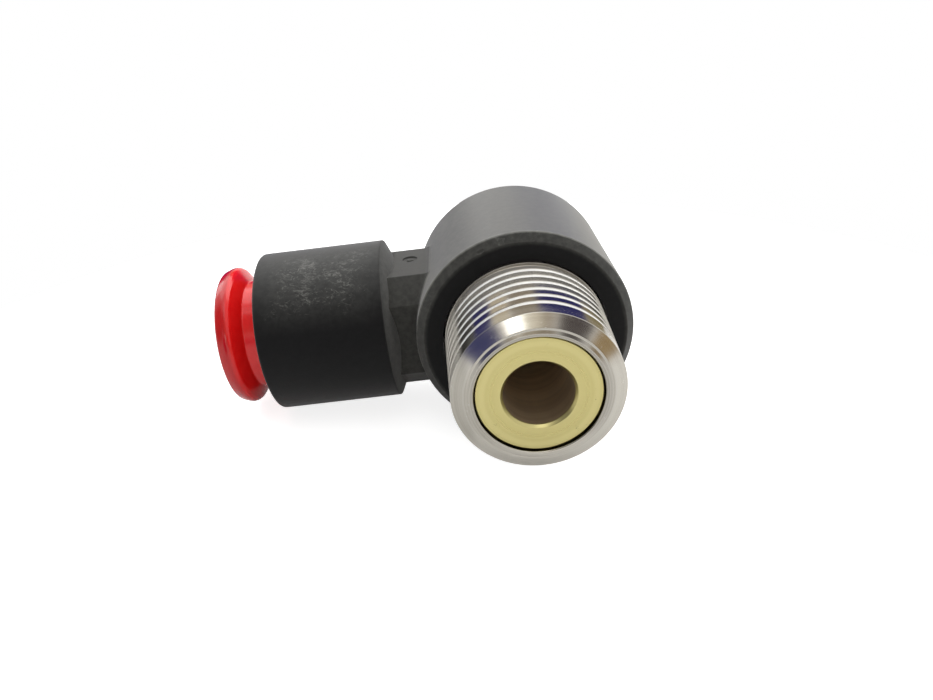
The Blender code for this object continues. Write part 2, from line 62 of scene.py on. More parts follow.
# %% axes
MM = 0.001
stud_low, stud_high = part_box("threaded_stud")
body_low, body_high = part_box("elbow_body")
STEM_X = (stud_low.x + stud_high.x) / 2
AXIS_Z = (stud_low.z + stud_high.z) / 2
FACE_Y = body_low.y
TUBE_Y = (body_low.y + body_high.y) / 2
TUBE_STATION = (TUBE_Y - FACE_Y) / MM
STEM_ORIGIN = Vector((STEM_X, FACE_Y, AXIS_Z))
TUBE_ORIGIN = Vector((STEM_X, TUBE_Y, AXIS_Z))
STEM = Matrix.Translation(STEM_ORIGIN) @ Matrix.Rotation(-math.pi / 2, 4, "X") @ Matrix.Scale(MM, 4)
TUBE = Matrix.Translation(TUBE_ORIGIN) @ Matrix.Rotation(-math.pi / 2, 4, "Y") @ Matrix.Scale(MM, 4)


def stem_span(node):
    """Front station, rear station and radius of a node turned about the stem."""
    low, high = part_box(node)
    return (low.y - FACE_Y) / MM, (high.y - FACE_Y) / MM, (high.z - low.z) / 2 / MM


def tube_span(node):
    """Inner station, outer station and radius of a node turned about the tube's axis."""
    low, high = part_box(node)
    return (STEM_X - high.x) / MM, (STEM_X - low.x) / MM, (high.z - low.z) / 2 / MM


STUD_NOSE, STUD_REAR, COLLAR_RADIUS = stem_span("threaded_stud")
CORE_NOSE, HEAD_REAR, HEAD_RADIUS = stem_span("stem_core")
GUIDE_START, GUIDE_END, GUIDE_RADIUS = tube_span("collet_guide")
COLLET_NOSE, COLLET_FRONT, FLANGE_RADIUS = tube_span("release_collet")
print("stud from", round(STUD_NOSE, 2), "to", round(STUD_REAR, 2), "collet front at", round(COLLET_FRONT, 2))

# %% [markdown]
# ## Turning a profile
# A lathe makes a shape from one profile. Real edges are never perfectly sharp, and the small round on an edge
# is what catches the light, so `soften` replaces each corner of a profile by a short arc before `lathe` turns
# it. A Screw modifier could turn it too. Building the grid of points directly leaves no seam and no modifier.

# %% turning
SEGMENTS = 192
ARC_STEPS = 4
WELD = 1e-7
FINE_ROUND = 0.06


def soften(profile, radius, closed=True):
    """Rounds each corner of an outline. A point may carry its own rounding as a third number."""
    points = [Vector(point[:2]) for point in profile]
    rounds = [point[2] if len(point) > 2 else radius for point in profile]
    last = len(points) - 1
    result = []
    for i, corner in enumerate(points):
        if not closed and i in (0, last):
            result.append(corner)
            continue
        back = points[i - 1] - corner
        ahead = points[(i + 1) % len(points)] - corner
        turn = back.angle(ahead)
        reach = min(rounds[i] / math.tan(turn / 2), 0.45 * back.length, 0.45 * ahead.length)
        start = corner + back.normalized() * reach
        end = corner + ahead.normalized() * reach
        for step in range(ARC_STEPS + 1):
            t = step / ARC_STEPS
            result.append(start * (1 - t) ** 2 + corner * 2 * t * (1 - t) + end * t ** 2)
    return [(point.x, point.y) for point in result]


def grid_faces(shape, verts, rows, columns, closed):
    """Joins rows of points into faces. Each row closes on itself, and the last row may meet the first."""
    for i in range(rows if closed else rows - 1):
        near = i * columns
        far = (i + 1) % rows * columns
        for j in range(columns):
            k = (j + 1) % columns
            shape.faces.new((verts[near + j], verts[far + j], verts[far + k], verts[near + k]))


def lathe(profile, axis, closed=True):
    """A bmesh of a profile turned about an axis."""
    angles = np.arange(SEGMENTS) * (math.tau / SEGMENTS)
    shape = bmesh.new()
    verts = [
        shape.verts.new(axis @ Vector((radius * math.cos(angle), radius * math.sin(angle), station)))
        for radius, station in profile for angle in angles
    ]
    grid_faces(shape, verts, len(profile), SEGMENTS, closed)
    bmesh.ops.remove_doubles(shape, verts=shape.verts, dist=WELD)
    bmesh.ops.dissolve_degenerate(shape, edges=shape.edges, dist=WELD)
    return shape


def to_mesh(shape, name):
    """Turns a bmesh into a mesh whose faces point outwards."""
    mesh = bpy.data.meshes.new(name)
    bmesh.ops.recalc_face_normals(shape, faces=shape.faces)
    shape.to_mesh(mesh)
    shape.free()
    return mesh


def scene_object(name, data):
    obj = bpy.data.objects.new(name, data)
    bpy.context.scene.collection.objects.link(obj)
    return obj


def turned_piece(name, axis, profile, rounding=FINE_ROUND):
    """Turns a profile with rounded corners. One that starts on the axis is open, any other is a ring."""
    closed = profile[0][0] > 0
    return scene_object(name, to_mesh(lathe(soften(profile, rounding, closed), axis, closed), name))


# %% [markdown]
# ## Cutting, joining and finishing a piece
# Bores and slots are cut with Boolean modifiers, which are applied at once, because a finished piece keeps
# its place in its mesh. A finished piece also needs clean shading: the Weighted Normal modifier lets the
# large flat faces keep their own direction, so that only the small rounds between them bend the light.

# %% carving and dressing
SHARP_ANGLE = math.radians(32)


def apply_modifiers(obj):
    """Replaces the object's mesh by the one that its modifiers make."""
    bpy.context.view_layer.update()
    depsgraph = bpy.context.evaluated_depsgraph_get()
    mesh = bpy.data.meshes.new_from_object(obj.evaluated_get(depsgraph))
    obj.modifiers.clear()
    obj.data = mesh


def carve(obj, tool, operation="DIFFERENCE"):
    """Cuts a tool out of an object, or joins it on, and removes the tool."""
    boolean = obj.modifiers.new("carve", "BOOLEAN")
    boolean.operation = operation
    boolean.object = tool
    apply_modifiers(obj)
    bpy.data.objects.remove(tool, do_unlink=True)


def dress(obj, material, body, slot, *nodes):
    """Gives a piece its shading, material and body, and hides the CAD nodes that it stands for. The slot is
    not used.
    """
    obj.data.shade_smooth()
    obj.data.set_sharp_from_angle(angle=SHARP_ANGLE)
    obj.modifiers.new("weighted", "WEIGHTED_NORMAL").keep_sharp = True
    apply_modifiers(obj)
    obj.data.materials.clear()
    obj.data.materials.append(material)
    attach(obj, body)
    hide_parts(*nodes)
    size = [round(side / MM, 2) for side in obj.dimensions]
    print(obj.name, "has", len(obj.data.polygons), "faces, size (mm):", size)


# %% [markdown]
# ## Small helpers for node trees
# The finishes, the thread and the studio are node trees. Adding a node, setting its values and linking its
# sockets takes many lines, so a small class does it: an input given as a socket is linked, any other is set.

# %% node helper
class Graph:
    """Adds nodes to a tree and links or sets their inputs."""

    def __init__(self, tree):
        self.tree = tree

    def fill(self, node, inputs):
        """Links each input that is given as a socket and sets any other."""
        for key, value in inputs.items():
            if isinstance(value, bpy.types.NodeSocket):
                self.tree.links.new(value, node.inputs[key])
            else:
                node.inputs[key].default_value = value
        return node

    def node(self, kind, inputs=None, **settings):
        made = self.tree.nodes.new(kind)
        for key, value in settings.items():
            setattr(made, key, value)
        return self.fill(made, inputs or {})

    def math(self, operation, *values):
        return self.node("ShaderNodeMath", dict(enumerate(values)), operation=operation).outputs[0]

    def minus(self, a, b):
        return self.math("SUBTRACT", a, b)

    def ratio(self, a, b):
        return self.math("DIVIDE", a, b)

    def larger(self, a, b):
        return self.math("MAXIMUM", a, b)

    def total(self, *values):
        return reduce(lambda a, b: self.math("ADD", a, b), values)

    def product(self, *values):
        return reduce(lambda a, b: self.math("MULTIPLY", a, b), values)

    def weighted(self, base, *parts):
        """A base value plus each part times its weight."""
        return self.total(base, *(self.product(value, weight) for value, weight in parts))

    def hypot(self, a, b):
        return self.math("SQRT", self.total(self.product(a, a), self.product(b, b)))

    def ramp(self, value, low, high, start=0.0, end=1.0):
        """A smooth change from start to end while value goes from low to high."""
        inputs = {"Value": value, 1: low, 2: high, 3: start, 4: end}
        return self.node("ShaderNodeMapRange", inputs, interpolation_type="SMOOTHSTEP").outputs[0]

    def near(self, value, middle, reach):
        """One around the middle, falling to zero at the reach on either side."""
        return self.ramp(self.math("ABSOLUTE", self.minus(value, middle)), reach, reach * 0.4)

    def mix(self, factor, a, b):
        return self.node("ShaderNodeMix", {0: factor, 6: a, 7: b}, data_type="RGBA").outputs[2]

    def split(self, vector):
        return self.node("ShaderNodeSeparateXYZ", {0: vector}).outputs

    def join(self, x, y, z):
        return self.node("ShaderNodeCombineXYZ", {0: x, 1: y, 2: z}).outputs[0]

    def noise(self, vector, scale, detail, roughness=0.5, distortion=0.0):
        inputs = {"Vector": vector, "Scale": scale, "Detail": detail}
        inputs |= {"Roughness": roughness, "Distortion": distortion}
        return self.node("ShaderNodeTexNoise", inputs).outputs[0]

    def group(self, tree, inputs):
        return self.node("ShaderNodeGroup", inputs, node_tree=tree).outputs


def new_tree(kind, name, inputs, outputs):
    """An empty tree, its graph and its inputs. An input is given by its kind or by its usual value."""
    tree = bpy.data.node_groups.new(name, kind + "NodeTree")
    for label, given in inputs.items():
        typed = isinstance(given, str)
        socket_type = "NodeSocket" + (given if typed else "Float")
        socket = tree.interface.new_socket(label, in_out="INPUT", socket_type=socket_type)
        if not typed:
            socket.default_value = given
    for label, given in outputs.items():
        tree.interface.new_socket(label, in_out="OUTPUT", socket_type="NodeSocket" + given)
    graph = Graph(tree)
    return tree, graph, graph.node("NodeGroupInput").outputs


def colour(red, green, blue):
    return (red, green, blue, 1.0)


def grey(level):
    return colour(level, level, level)


def new_material(name):
    """A Principled material with its graph and its shader."""
    material = bpy.data.materials.new(name)
    material.use_nodes = True
    return material, Graph(material.node_tree), material.node_tree.nodes["Principled BSDF"]


def place_mm(graph, origin):
    """Object coordinates in millimetres from an origin."""
    raw = graph.node("ShaderNodeTexCoord").outputs["Object"]
    shift = [-side / MM for side in origin]
    inputs = {"Vector": raw, "Location": shift, "Scale": [1 / MM] * 3}
    return graph.node("ShaderNodeMapping", inputs).outputs[0]


def bump(graph, height, distance):
    """A normal that follows a height of this many millimetres."""
    inputs = {"Height": height, "Distance": distance * MM, "Strength": 1.0}
    return graph.node("ShaderNodeBump", inputs).outputs[0]


# %% [markdown]
# ## Effects that several finishes share
# Three effects come back on several materials, so each is a shader group with its own inputs. Moulded grain
# is the fine pebble and the cloudy tone of a part that came out of a mould. Turning marks are the rings that
# a lathe leaves: they depend on how far a point lies along the profile, so radius minus station serves for
# faces and for cylinders. Flecks are small marks with torn edges: scuffs on nylon, specks on nickel, pits on
# brass. A group only puts out values, and the shader stays in each material.

# %% shared effects
def moulded_grain():
    inputs = {"Vector": "Vector", "Grain Size": 0.2, "Cloud Size": 2.0}
    tree, graph, given = new_tree("Shader", "moulded_grain", inputs, {"Height": "Float", "Cloud": "Float"})
    fine = graph.noise(given["Vector"], graph.ratio(1.0, given["Grain Size"]), 2.0, 0.6)
    cloud = graph.noise(given["Vector"], graph.ratio(1.0, given["Cloud Size"]), 5.0, 0.62)
    tone = graph.ramp(cloud, 0.22, 0.78)
    height = graph.total(graph.product(fine, 0.75), graph.product(tone, 0.25))
    graph.node("NodeGroupOutput", {"Height": height, "Cloud": tone})
    return tree


def turning_marks():
    inputs = {"Radius": 0.0, "Station": 0.0, "Spacing": 0.1}
    tree, graph, given = new_tree("Shader", "turning_marks", inputs, {"Height": "Float", "Tone": "Float"})
    step = graph.ratio(graph.minus(given["Radius"], given["Station"]), given["Spacing"])
    fine = graph.noise(graph.join(step, 0.0, 0.0), 1.0, 2.0, 0.6)
    broad = graph.noise(graph.join(graph.product(step, 0.13), 7.3, 0.0), 1.0, 1.0)
    graph.node("NodeGroupOutput", {"Height": fine, "Tone": graph.ramp(broad, 0.3, 0.7)})
    return tree


def flecks():
    inputs = {"Vector": "Vector", "Size": 0.5, "Amount": 0.3, "Clumping": 4.0, "Softness": 0.1}
    tree, graph, given = new_tree("Shader", "flecks", inputs, {"Mask": "Float"})
    scale = graph.ratio(1.0, given["Size"])
    torn = graph.noise(given["Vector"], scale, 5.0, 0.72, 1.2)
    clump = graph.noise(given["Vector"], graph.ratio(scale, given["Clumping"]), 2.0)
    level = graph.weighted(torn, (graph.minus(clump, 0.5), 0.5))
    threshold = graph.minus(0.82, graph.product(given["Amount"], 0.4))
    mask = graph.ramp(level, threshold, graph.total(threshold, given["Softness"]))
    graph.node("NodeGroupOutput", {"Mask": mask})
    return tree


GRAIN = moulded_grain()
TURNING = turning_marks()
FLECKS = flecks()
print("shader groups:", [tree.name for tree in (GRAIN, TURNING, FLECKS)])

# %% [markdown]
# ## Where the body is worn, and where sheen is painted
# The body is glass-filled nylon: nearly black where it is fresh, and grey where it is rubbed. In the picture
# the drum is paler on its upper side, the neck and the drum's front chamfer a little, and the socket has a
# patch of scuffs. The paler upper side and shoulders of the drum are painted sheen over a mottled rub; the
# neck, the chamfer and the scuffs are taken as wear. Painting them by hand would need a texture. Here each
# place is found by its radius and station about the stem or the tube.

# %% worn places
DRUM_RADIUS = (body_high.z - body_low.z) / 2 / MM
DRUM_LENGTH = (body_high.y - body_low.y) / MM
DRUM_CHAMFER = 1.08
MOUTH = (STEM_X - body_low.x) / MM
SOCKET_BACK = 18.37
CONE_RADIUS = 7.25
SCUFF_TILT = math.radians(30)
SCUFF_STATION = 26.5
SCUFF_REACH = 11.0
ON_AXIS = 0.001


def worn_places(graph, x, y, z):
    """Masks of the drum, neck, arm's upper side, scuffed patch, front chamfer and socket's back."""
    stem_radius = graph.hypot(x, z)
    tube_radius = graph.larger(graph.hypot(y, z), ON_AXIS)
    # The drum's upper side counts more: painted sheen from above
    upper = graph.ramp(graph.ratio(z, DRUM_RADIUS), 0.0, 0.6, 0.2, 1.0)
    drum = graph.product(graph.near(stem_radius, DRUM_RADIUS, 0.2), upper)
    arm = graph.ramp(stem_radius, DRUM_RADIUS + 0.03, DRUM_RADIUS + 0.3)
    neck = graph.product(arm, graph.ramp(x, -SOCKET_BACK - 0.2, -SOCKET_BACK + 0.4))
    top = graph.product(arm, graph.ramp(graph.ratio(z, tube_radius), 0.5, 0.97))
    lean = graph.minus(graph.product(z, math.cos(SCUFF_TILT)), graph.product(y, math.sin(SCUFF_TILT)))
    facing = graph.ramp(graph.ratio(lean, tube_radius), 0.75, 0.97)
    patch = graph.product(facing, graph.near(x, -SCUFF_STATION, SCUFF_REACH))
    chamfer = graph.product(
        graph.near(stem_radius, DRUM_RADIUS - DRUM_CHAMFER / 2, DRUM_CHAMFER),
        graph.near(y, DRUM_CHAMFER / 2 - TUBE_STATION, DRUM_CHAMFER))
    back = graph.product(
        graph.ramp(tube_radius, CONE_RADIUS, CONE_RADIUS + 0.3), graph.near(x, 0.6 - SOCKET_BACK, 1.0))
    return drum, neck, top, patch, chamfer, back


# %% [markdown]
# ## Black nylon
# Three layers change the colour: a cloudy rub, which on the drum's upper side and shoulders is also painted
# sheen; dust on the arm's upper side, which also carries painted sheen; and torn scuffs, which run along short
# strokes because their pattern is turned and stretched. The drum is also a little glossier. Fine dust lies on
# all of it and shows where one looks along the surface, which is what sheen does.

# %% black nylon
FRESH_BLACK = colour(0.003, 0.003, 0.0033), colour(0.005, 0.005, 0.0054)
# The rub's grey also carries painted sheen on the drum's upper side and shoulders
RUBBED_AND_SHEEN_GREY = colour(0.12, 0.119, 0.105)
# The dust's grey also carries painted sheen on the arm's upper side
DUST_AND_SHEEN_GREY = colour(0.06, 0.06, 0.056)
SCUFF_GREY = colour(0.21, 0.21, 0.195)
STROKE_TURN = (0.0, math.radians(25), 0.0)
STROKE_STRETCH = (0.7, 1.0, 1.0)


def black_nylon():
    material, graph, shader = new_material("black_nylon")
    place = place_mm(graph, TUBE_ORIGIN)
    x, y, z = graph.split(place)
    drum, neck, top, patch, chamfer, back = worn_places(graph, x, y, z)
    # Painted sheen: the drum's shoulders, to the left and right, are paler
    painted_shoulder_sheen = graph.product(drum, graph.ramp(graph.math("ABSOLUTE", x), 4.0, 10.0))
    grain = graph.group(GRAIN, {"Vector": place, "Grain Size": 0.22, "Cloud Size": 0.9})
    cloud = grain["Cloud"]
    mottle = graph.ramp(cloud, 0.0, 1.0, 0.58, 1.0)
    # The rub is mottled wear, and on the drum's upper side and shoulders painted sheen
    rubbed_and_sheen = graph.product(
        mottle, graph.weighted(0.0, (drum, 0.66), (painted_shoulder_sheen, 0.27), (neck, 0.39), (chamfer, 0.4)))
    handled = graph.weighted(patch, (chamfer, 0.7))
    strokes = graph.node(
        "ShaderNodeMapping", {"Vector": place, "Rotation": STROKE_TURN, "Scale": STROKE_STRETCH})
    mark = graph.group(FLECKS, {
        "Vector": strokes.outputs[0], "Size": 0.5, "Clumping": 5.0, "Softness": 0.36,
        "Amount": graph.weighted(0.2, (handled, 0.64))})["Mask"]
    scuffed = graph.total(
        graph.product(mark, graph.weighted(0.08, (handled, 0.66))), graph.product(patch, mottle, 0.12))
    # Dust on the arm's upper side, which also stands for painted sheen
    dust_and_sheen = graph.product(top, graph.ramp(cloud, 0.0, 1.0, 0.28, 0.42))
    worn_and_sheen = graph.mix(rubbed_and_sheen, graph.mix(cloud, *FRESH_BLACK), RUBBED_AND_SHEEN_GREY)
    graph.fill(shader, {
        "Base Color": graph.mix(scuffed, graph.mix(dust_and_sheen, worn_and_sheen, DUST_AND_SHEEN_GREY), SCUFF_GREY),
        "Roughness": graph.weighted(0.44, (cloud, 0.08), (rubbed_and_sheen, 0.08), (scuffed, 0.15), (back, 0.4)),
        "Coat Weight": graph.product(drum, graph.ramp(x, -9.0, -3.0, 0.15, 0.8)),
        "Coat Roughness": 0.4, "Specular IOR Level": 0.08, "Sheen Weight": 0.26,
        "Normal": bump(graph, graph.weighted(grain["Height"], (scuffed, 0.6)), 0.014),
    })
    return material


NYLON = black_nylon()
print("made", NYLON.name)

# %% [markdown]
# ## Nickel plate
# The stud is turned and plated. In the picture its upper lands are bright, its sides and rear are duller, and
# its nose ring is darker above and to the left. The finish follows that: less of it is metal where it is dull,
# and the nose ring's darkening above and to the left is painted shade. The flanks of the thread were cut with
# a torn edge, so they scatter more light, and their pale colour is a painted highlight. They are found by how
# deep they lie below the thread's crest, which follows from the taper.

# %% nickel plate
TAPER = 1 / 32
GAUGE_RADIUS = 20.955 / 2
GAUGE_STATION = STUD_NOSE + 8.2
THREAD_START = STUD_NOSE + 0.94
THREAD_END = -1.0
LAND_TONES = colour(0.47, 0.44, 0.385), colour(0.6, 0.575, 0.515)
# The nose ring's darker tones are painted shade
NOSE_SHADE_TONES = colour(0.27, 0.25, 0.215), colour(0.45, 0.43, 0.38)
SPECK_WHITE = colour(0.9, 0.88, 0.84)
# The flanks' white is a painted highlight over a rougher torn finish
FLANK_HIGHLIGHT_WHITE = colour(0.92, 0.915, 0.9)


def crest_at(graph, station):
    """Radius of the thread's crest at a station."""
    return graph.weighted(GAUGE_RADIUS, (graph.minus(station, GAUGE_STATION), TAPER))


def stem_place(graph):
    """Place in millimetres about the stem, with the radius and the station."""
    place = place_mm(graph, STEM_ORIGIN)
    x, y, z = graph.split(place)
    return place, graph.hypot(x, z), y


def nickel_plate():
    material, graph, shader = new_material("nickel_plate")
    place, radius, station = stem_place(graph)
    x, _, z = graph.split(place)
    marks = graph.group(TURNING, {"Radius": radius, "Station": station, "Spacing": 0.16})
    speck = graph.group(FLECKS, {"Vector": place, "Size": 0.16, "Clumping": 8.0, "Amount": 0.34})["Mask"]
    sides = graph.product(
        graph.ramp(graph.ratio(graph.math("ABSOLUTE", x), radius), 0.76, 0.87),
        graph.ramp(station, THREAD_START - 0.1, THREAD_START + 0.2))
    dull = graph.larger(sides, graph.ramp(station, THREAD_START + 4.0, THREAD_END, 0.0, 0.6))
    # Painted highlight: the flanks of the thread are pale, less so on the stud's sides
    flank = graph.product(
        graph.ramp(station, THREAD_START + 0.1, THREAD_START + 0.3),
        graph.ramp(station, THREAD_END, THREAD_END - 0.2),
        graph.ramp(graph.minus(crest_at(graph, station), radius), 0.02, 0.12),
        graph.ramp(sides, 0.0, 1.0, 1.0, 0.15))
    # Painted shade: the nose's left side is darkened
    shaded_left = graph.product(
        graph.ramp(station, THREAD_START + 0.1, THREAD_START - 0.1), graph.ramp(x, -7.0, -8.5))
    nose = graph.larger(graph.ramp(station, STUD_NOSE + 0.35, STUD_NOSE + 0.12), shaded_left)
    # Painted shade: the nose ring darkens towards its top
    nose_painted_shade = graph.product(nose, graph.ramp(z, -8.0, -3.0, 0.0, 0.85))
    ring = graph.weighted(graph.ramp(marks["Height"], 0.35, 0.65, 0.0, 0.5), (marks["Tone"], 0.5))
    # The turned rings, with the nose ring's painted shade
    turned = graph.mix(nose_painted_shade, graph.mix(ring, *LAND_TONES), graph.mix(ring, *NOSE_SHADE_TONES))
    specked = graph.mix(graph.product(speck, 0.6), turned, SPECK_WHITE)
    graph.fill(shader, {
        "Base Color": graph.mix(flank, specked, FLANK_HIGHLIGHT_WHITE),
        "Roughness": graph.weighted(0.12, (marks["Tone"], 0.06), (speck, 0.2), (flank, 0.4), (dull, 0.15)),
        "Metallic": graph.ramp(dull, 0.0, 1.0, 1.0, 0.45),
        "Normal": bump(graph, graph.total(marks["Height"], speck), 0.0015),
    })
    return material


NICKEL = nickel_plate()
print("made", NICKEL.name)

# %% [markdown]
# ## Brass
# The core's end was faced flat and never plated. It has fine rings and pits, and its bore is brown: partly a
# stain, partly painted shade inside the bore.

# %% brass
BORE_RADIUS = 4.17
BORE_BEVEL_LENGTH = 0.38
BRASS_TONES = colour(0.545, 0.48, 0.205), colour(0.605, 0.54, 0.245)
# The bore's brown is partly a stain and partly painted shade of the bore
STAIN_AND_SHADE_TONES = colour(0.25, 0.18, 0.11), colour(0.52, 0.4, 0.26)
PIT_BROWN = colour(0.16, 0.125, 0.05)


def turned_brass():
    material, graph, shader = new_material("turned_brass")
    place, radius, station = stem_place(graph)
    marks = graph.group(TURNING, {"Radius": radius, "Station": station, "Spacing": 0.11})
    pit = graph.group(FLECKS, {"Vector": place, "Size": 0.3, "Clumping": 7.0, "Amount": 0.33})["Mask"]
    bevel_end = CORE_NOSE + BORE_BEVEL_LENGTH
    inside = graph.product(
        graph.ramp(radius, BORE_RADIUS + 0.3, BORE_RADIUS + 0.1),
        graph.ramp(station, bevel_end, bevel_end + 0.2))
    pitted = graph.mix(graph.product(pit, 0.75), graph.mix(marks["Tone"], *BRASS_TONES), PIT_BROWN)
    deep = graph.ramp(station, CORE_NOSE + 1.0, CORE_NOSE + 7.0, 0.0, 0.7)
    # Stain and painted shade in the bore, paler further in
    stain_and_shade = graph.mix(graph.weighted(deep, (marks["Tone"], 0.3)), *STAIN_AND_SHADE_TONES)
    graph.fill(shader, {
        "Base Color": graph.mix(inside, pitted, stain_and_shade),
        "Roughness": graph.weighted(0.27, (marks["Tone"], 0.08), (pit, 0.25), (inside, 0.18)),
        "Metallic": graph.ramp(inside, 0.0, 1.0, 1.0, 0.35),
        "Normal": bump(graph, graph.minus(graph.product(marks["Height"], 0.6), pit), 0.004),
    })
    return material


BRASS = turned_brass()
print("made", BRASS.name)

# %% [markdown]
# ## Moulded plastics and rubber
# The collet is glossy red acetal. The rings inside the body are natural acetal, black nylon and rubber. They
# all differ in colour, gloss and grain only, so one function makes them from a few values. The red lets some
# light through, so it looks deeper in the thick flange than in the thin neck.

# %% moulded plastics
FLANGE_LIP = 1.85
RIDGE_STATION = COLLET_FRONT - FLANGE_LIP
THICK_RED = colour(0.51, 0.004, 0.005)


def deepened(graph, place, tone):
    """The red, deeper where the flange is thick."""
    thick = graph.ramp(graph.split(place)["X"], 0.2 - RIDGE_STATION, -0.4 - RIDGE_STATION)
    return graph.mix(thick, tone, THICK_RED)


def moulded(name, dark, light, gloss, grain_size, grain_depth, change=None):
    """A cloudy change between two colours, with a fine grain. A function may change the colour."""
    material, graph, shader = new_material(name)
    place = place_mm(graph, TUBE_ORIGIN)
    grain = graph.group(GRAIN, {"Vector": place, "Grain Size": grain_size, "Cloud Size": 1.8})
    tone = graph.mix(grain["Cloud"], colour(*dark), colour(*light))
    graph.fill(shader, {
        "Base Color": change(graph, place, tone) if change else tone,
        "Roughness": graph.ramp(grain["Cloud"], 0.0, 1.0, *gloss),
        "Normal": bump(graph, grain["Height"], grain_depth),
    })
    return material


RED = moulded("red_acetal", (0.82, 0.007, 0.008), (0.88, 0.013, 0.012), (0.15, 0.2), 0.5, 0.0005, deepened)
GUIDE_BLACK = moulded("guide_nylon", (0.01, 0.01, 0.011), (0.018, 0.018, 0.019), (0.42, 0.52), 0.2, 0.008)
NATURAL = moulded("natural_acetal", (0.7, 0.69, 0.64), (0.78, 0.77, 0.73), (0.35, 0.45), 0.3, 0.004)
RUBBER = moulded("seal_rubber", (0.012, 0.012, 0.012), (0.022, 0.022, 0.021), (0.5, 0.62), 0.15, 0.006)
print("made", RED.name, GUIDE_BLACK.name, NATURAL.name, RUBBER.name)

# %% [markdown]
# ## Spring steel
# The grab ring is pressed from rolled strip, so its marks run straight across it and not around it: the grain
# is stretched along one direction.

# %% spring steel
STEEL_TONES = colour(0.5, 0.5, 0.51), colour(0.6, 0.6, 0.61)


def spring_steel():
    material, graph, shader = new_material("spring_steel")
    x, y, z = graph.split(place_mm(graph, TUBE_ORIGIN))
    rolled = graph.join(graph.product(x, 3.0), graph.product(y, 9.0), graph.product(z, 0.4))
    streak = graph.ramp(graph.noise(rolled, 1.0, 3.0), 0.3, 0.7)
    graph.fill(shader, {
        "Base Color": graph.mix(streak, *STEEL_TONES),
        "Roughness": graph.ramp(streak, 0.0, 1.0, 0.22, 0.34),
        "Metallic": 1.0,
        "Normal": bump(graph, streak, 0.002),
    })
    return material


STEEL = spring_steel()
print("made", STEEL.name)

# %% [markdown]
# ## The elbow body
# The body is one moulding: a drum, an eight-sided neck and a round socket. Each is drawn as its own solid
# with its edges already rounded, the three are joined, and the two bores are cut out together, which is the
# order in which a mould's cores work.

# %% drum and socket
EDGE_ROUND = 0.25
SEAT_GAP = 0.15
SOCKET_WALL = 1.43
CONE_SLOPE = 0.46
SOCKET_RADIUS = GUIDE_RADIUS + SEAT_GAP + SOCKET_WALL
CONE_STATION = SOCKET_BACK - (SOCKET_RADIUS - CONE_RADIUS) * CONE_SLOPE

elbow = turned_piece("elbow_shell", STEM, [
    (0, DRUM_LENGTH),
    (DRUM_RADIUS - DRUM_CHAMFER, DRUM_LENGTH),
    (DRUM_RADIUS, DRUM_LENGTH - DRUM_CHAMFER),
    (DRUM_RADIUS, DRUM_CHAMFER),
    (DRUM_RADIUS - DRUM_CHAMFER, 0),
    (0, 0),
], EDGE_ROUND)
socket = turned_piece("socket", TUBE, [
    (0, MOUTH),
    (SOCKET_RADIUS, MOUTH, 0.4),
    (SOCKET_RADIUS, SOCKET_BACK, 0.2),
    (CONE_RADIUS, CONE_STATION),
    (0, CONE_STATION),
])
print("drum and socket:", len(elbow.data.polygons), len(socket.data.polygons), "faces")

# %% [markdown]
# ## The neck
# The neck is an eight-sided bar that grows out of the drum with a fillet. A Bevel modifier stumbles over the
# small faces that a union leaves, so the fillet is drawn by its rule: close to the drum the bar's outline
# swells by a quarter circle, and each ring of points lies at its own distance from the drum's round surface.

# %% neck
NECK_WIDTH = 16.5
NECK_CORNER = 3.1
NECK_FILLET = 0.6
NECK_START = 5.0
NECK_END = 19.6
FILLET_STEPS = 6
FILLET_SINK = 0.03
OUTLINE_STEP = 0.45


def divided(outline, step):
    """Adds points along a closed outline, so that no stretch is longer than a step."""
    result = []
    for i, here in enumerate(outline):
        here, ahead = Vector(here), Vector(outline[(i + 1) % len(outline)])
        count = max(1, math.ceil((ahead - here).length / step))
        result += [here.lerp(ahead, k / count) for k in range(count)]
    return result


def neck_bar():
    half = NECK_WIDTH / 2
    cut = half - NECK_CORNER
    corners = [
        (half, -cut), (half, cut), (cut, half), (-cut, half),
        (-half, cut), (-half, -cut), (-cut, -half), (cut, -half),
    ]
    outline = divided(soften(corners, EDGE_ROUND), OUTLINE_STEP)
    sides = [outline[(i + 1) % len(outline)] - outline[i - 1] for i in range(len(outline))]
    outward = [Vector((side.y, -side.x)).normalized() for side in sides]

    def ring(swell, station):
        for point, way in zip(outline, outward):
            up, back = point + way * swell
            yield TUBE @ Vector((up, back, station(up)))

    def fillet_station(gap):
        return lambda up: math.sqrt((DRUM_RADIUS + gap) ** 2 - up ** 2)

    rows = [ring(NECK_FILLET, lambda up: NECK_START)]
    for i in range(FILLET_STEPS + 1):
        turn = math.pi / 2 * i / FILLET_STEPS
        gap = NECK_FILLET * (1 - math.cos(turn)) - FILLET_SINK
        rows.append(ring(NECK_FILLET * (1 - math.sin(turn)), fillet_station(gap)))
    rows.append(ring(0.0, lambda up: NECK_END))
    shape = bmesh.new()
    verts = [shape.verts.new(point) for row in rows for point in row]
    columns = len(outline)
    grid_faces(shape, verts, len(rows), columns, closed=False)
    shape.faces.new(verts[:columns])
    shape.faces.new(verts[-columns:])
    return shape


carve(elbow, scene_object("neck", to_mesh(neck_bar(), "neck")), "UNION")
carve(elbow, socket, "UNION")
print("body outside:", len(elbow.data.polygons), "faces")

# %% [markdown]
# ## Bores of the body
# The stem's bore widens at both ends for the stud's collar and the core's head. The tube's bore steps down
# from the mouth to the seal's pocket, the tube's seat and the air passage. Their sizes follow from the pieces
# that they hold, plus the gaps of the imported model.

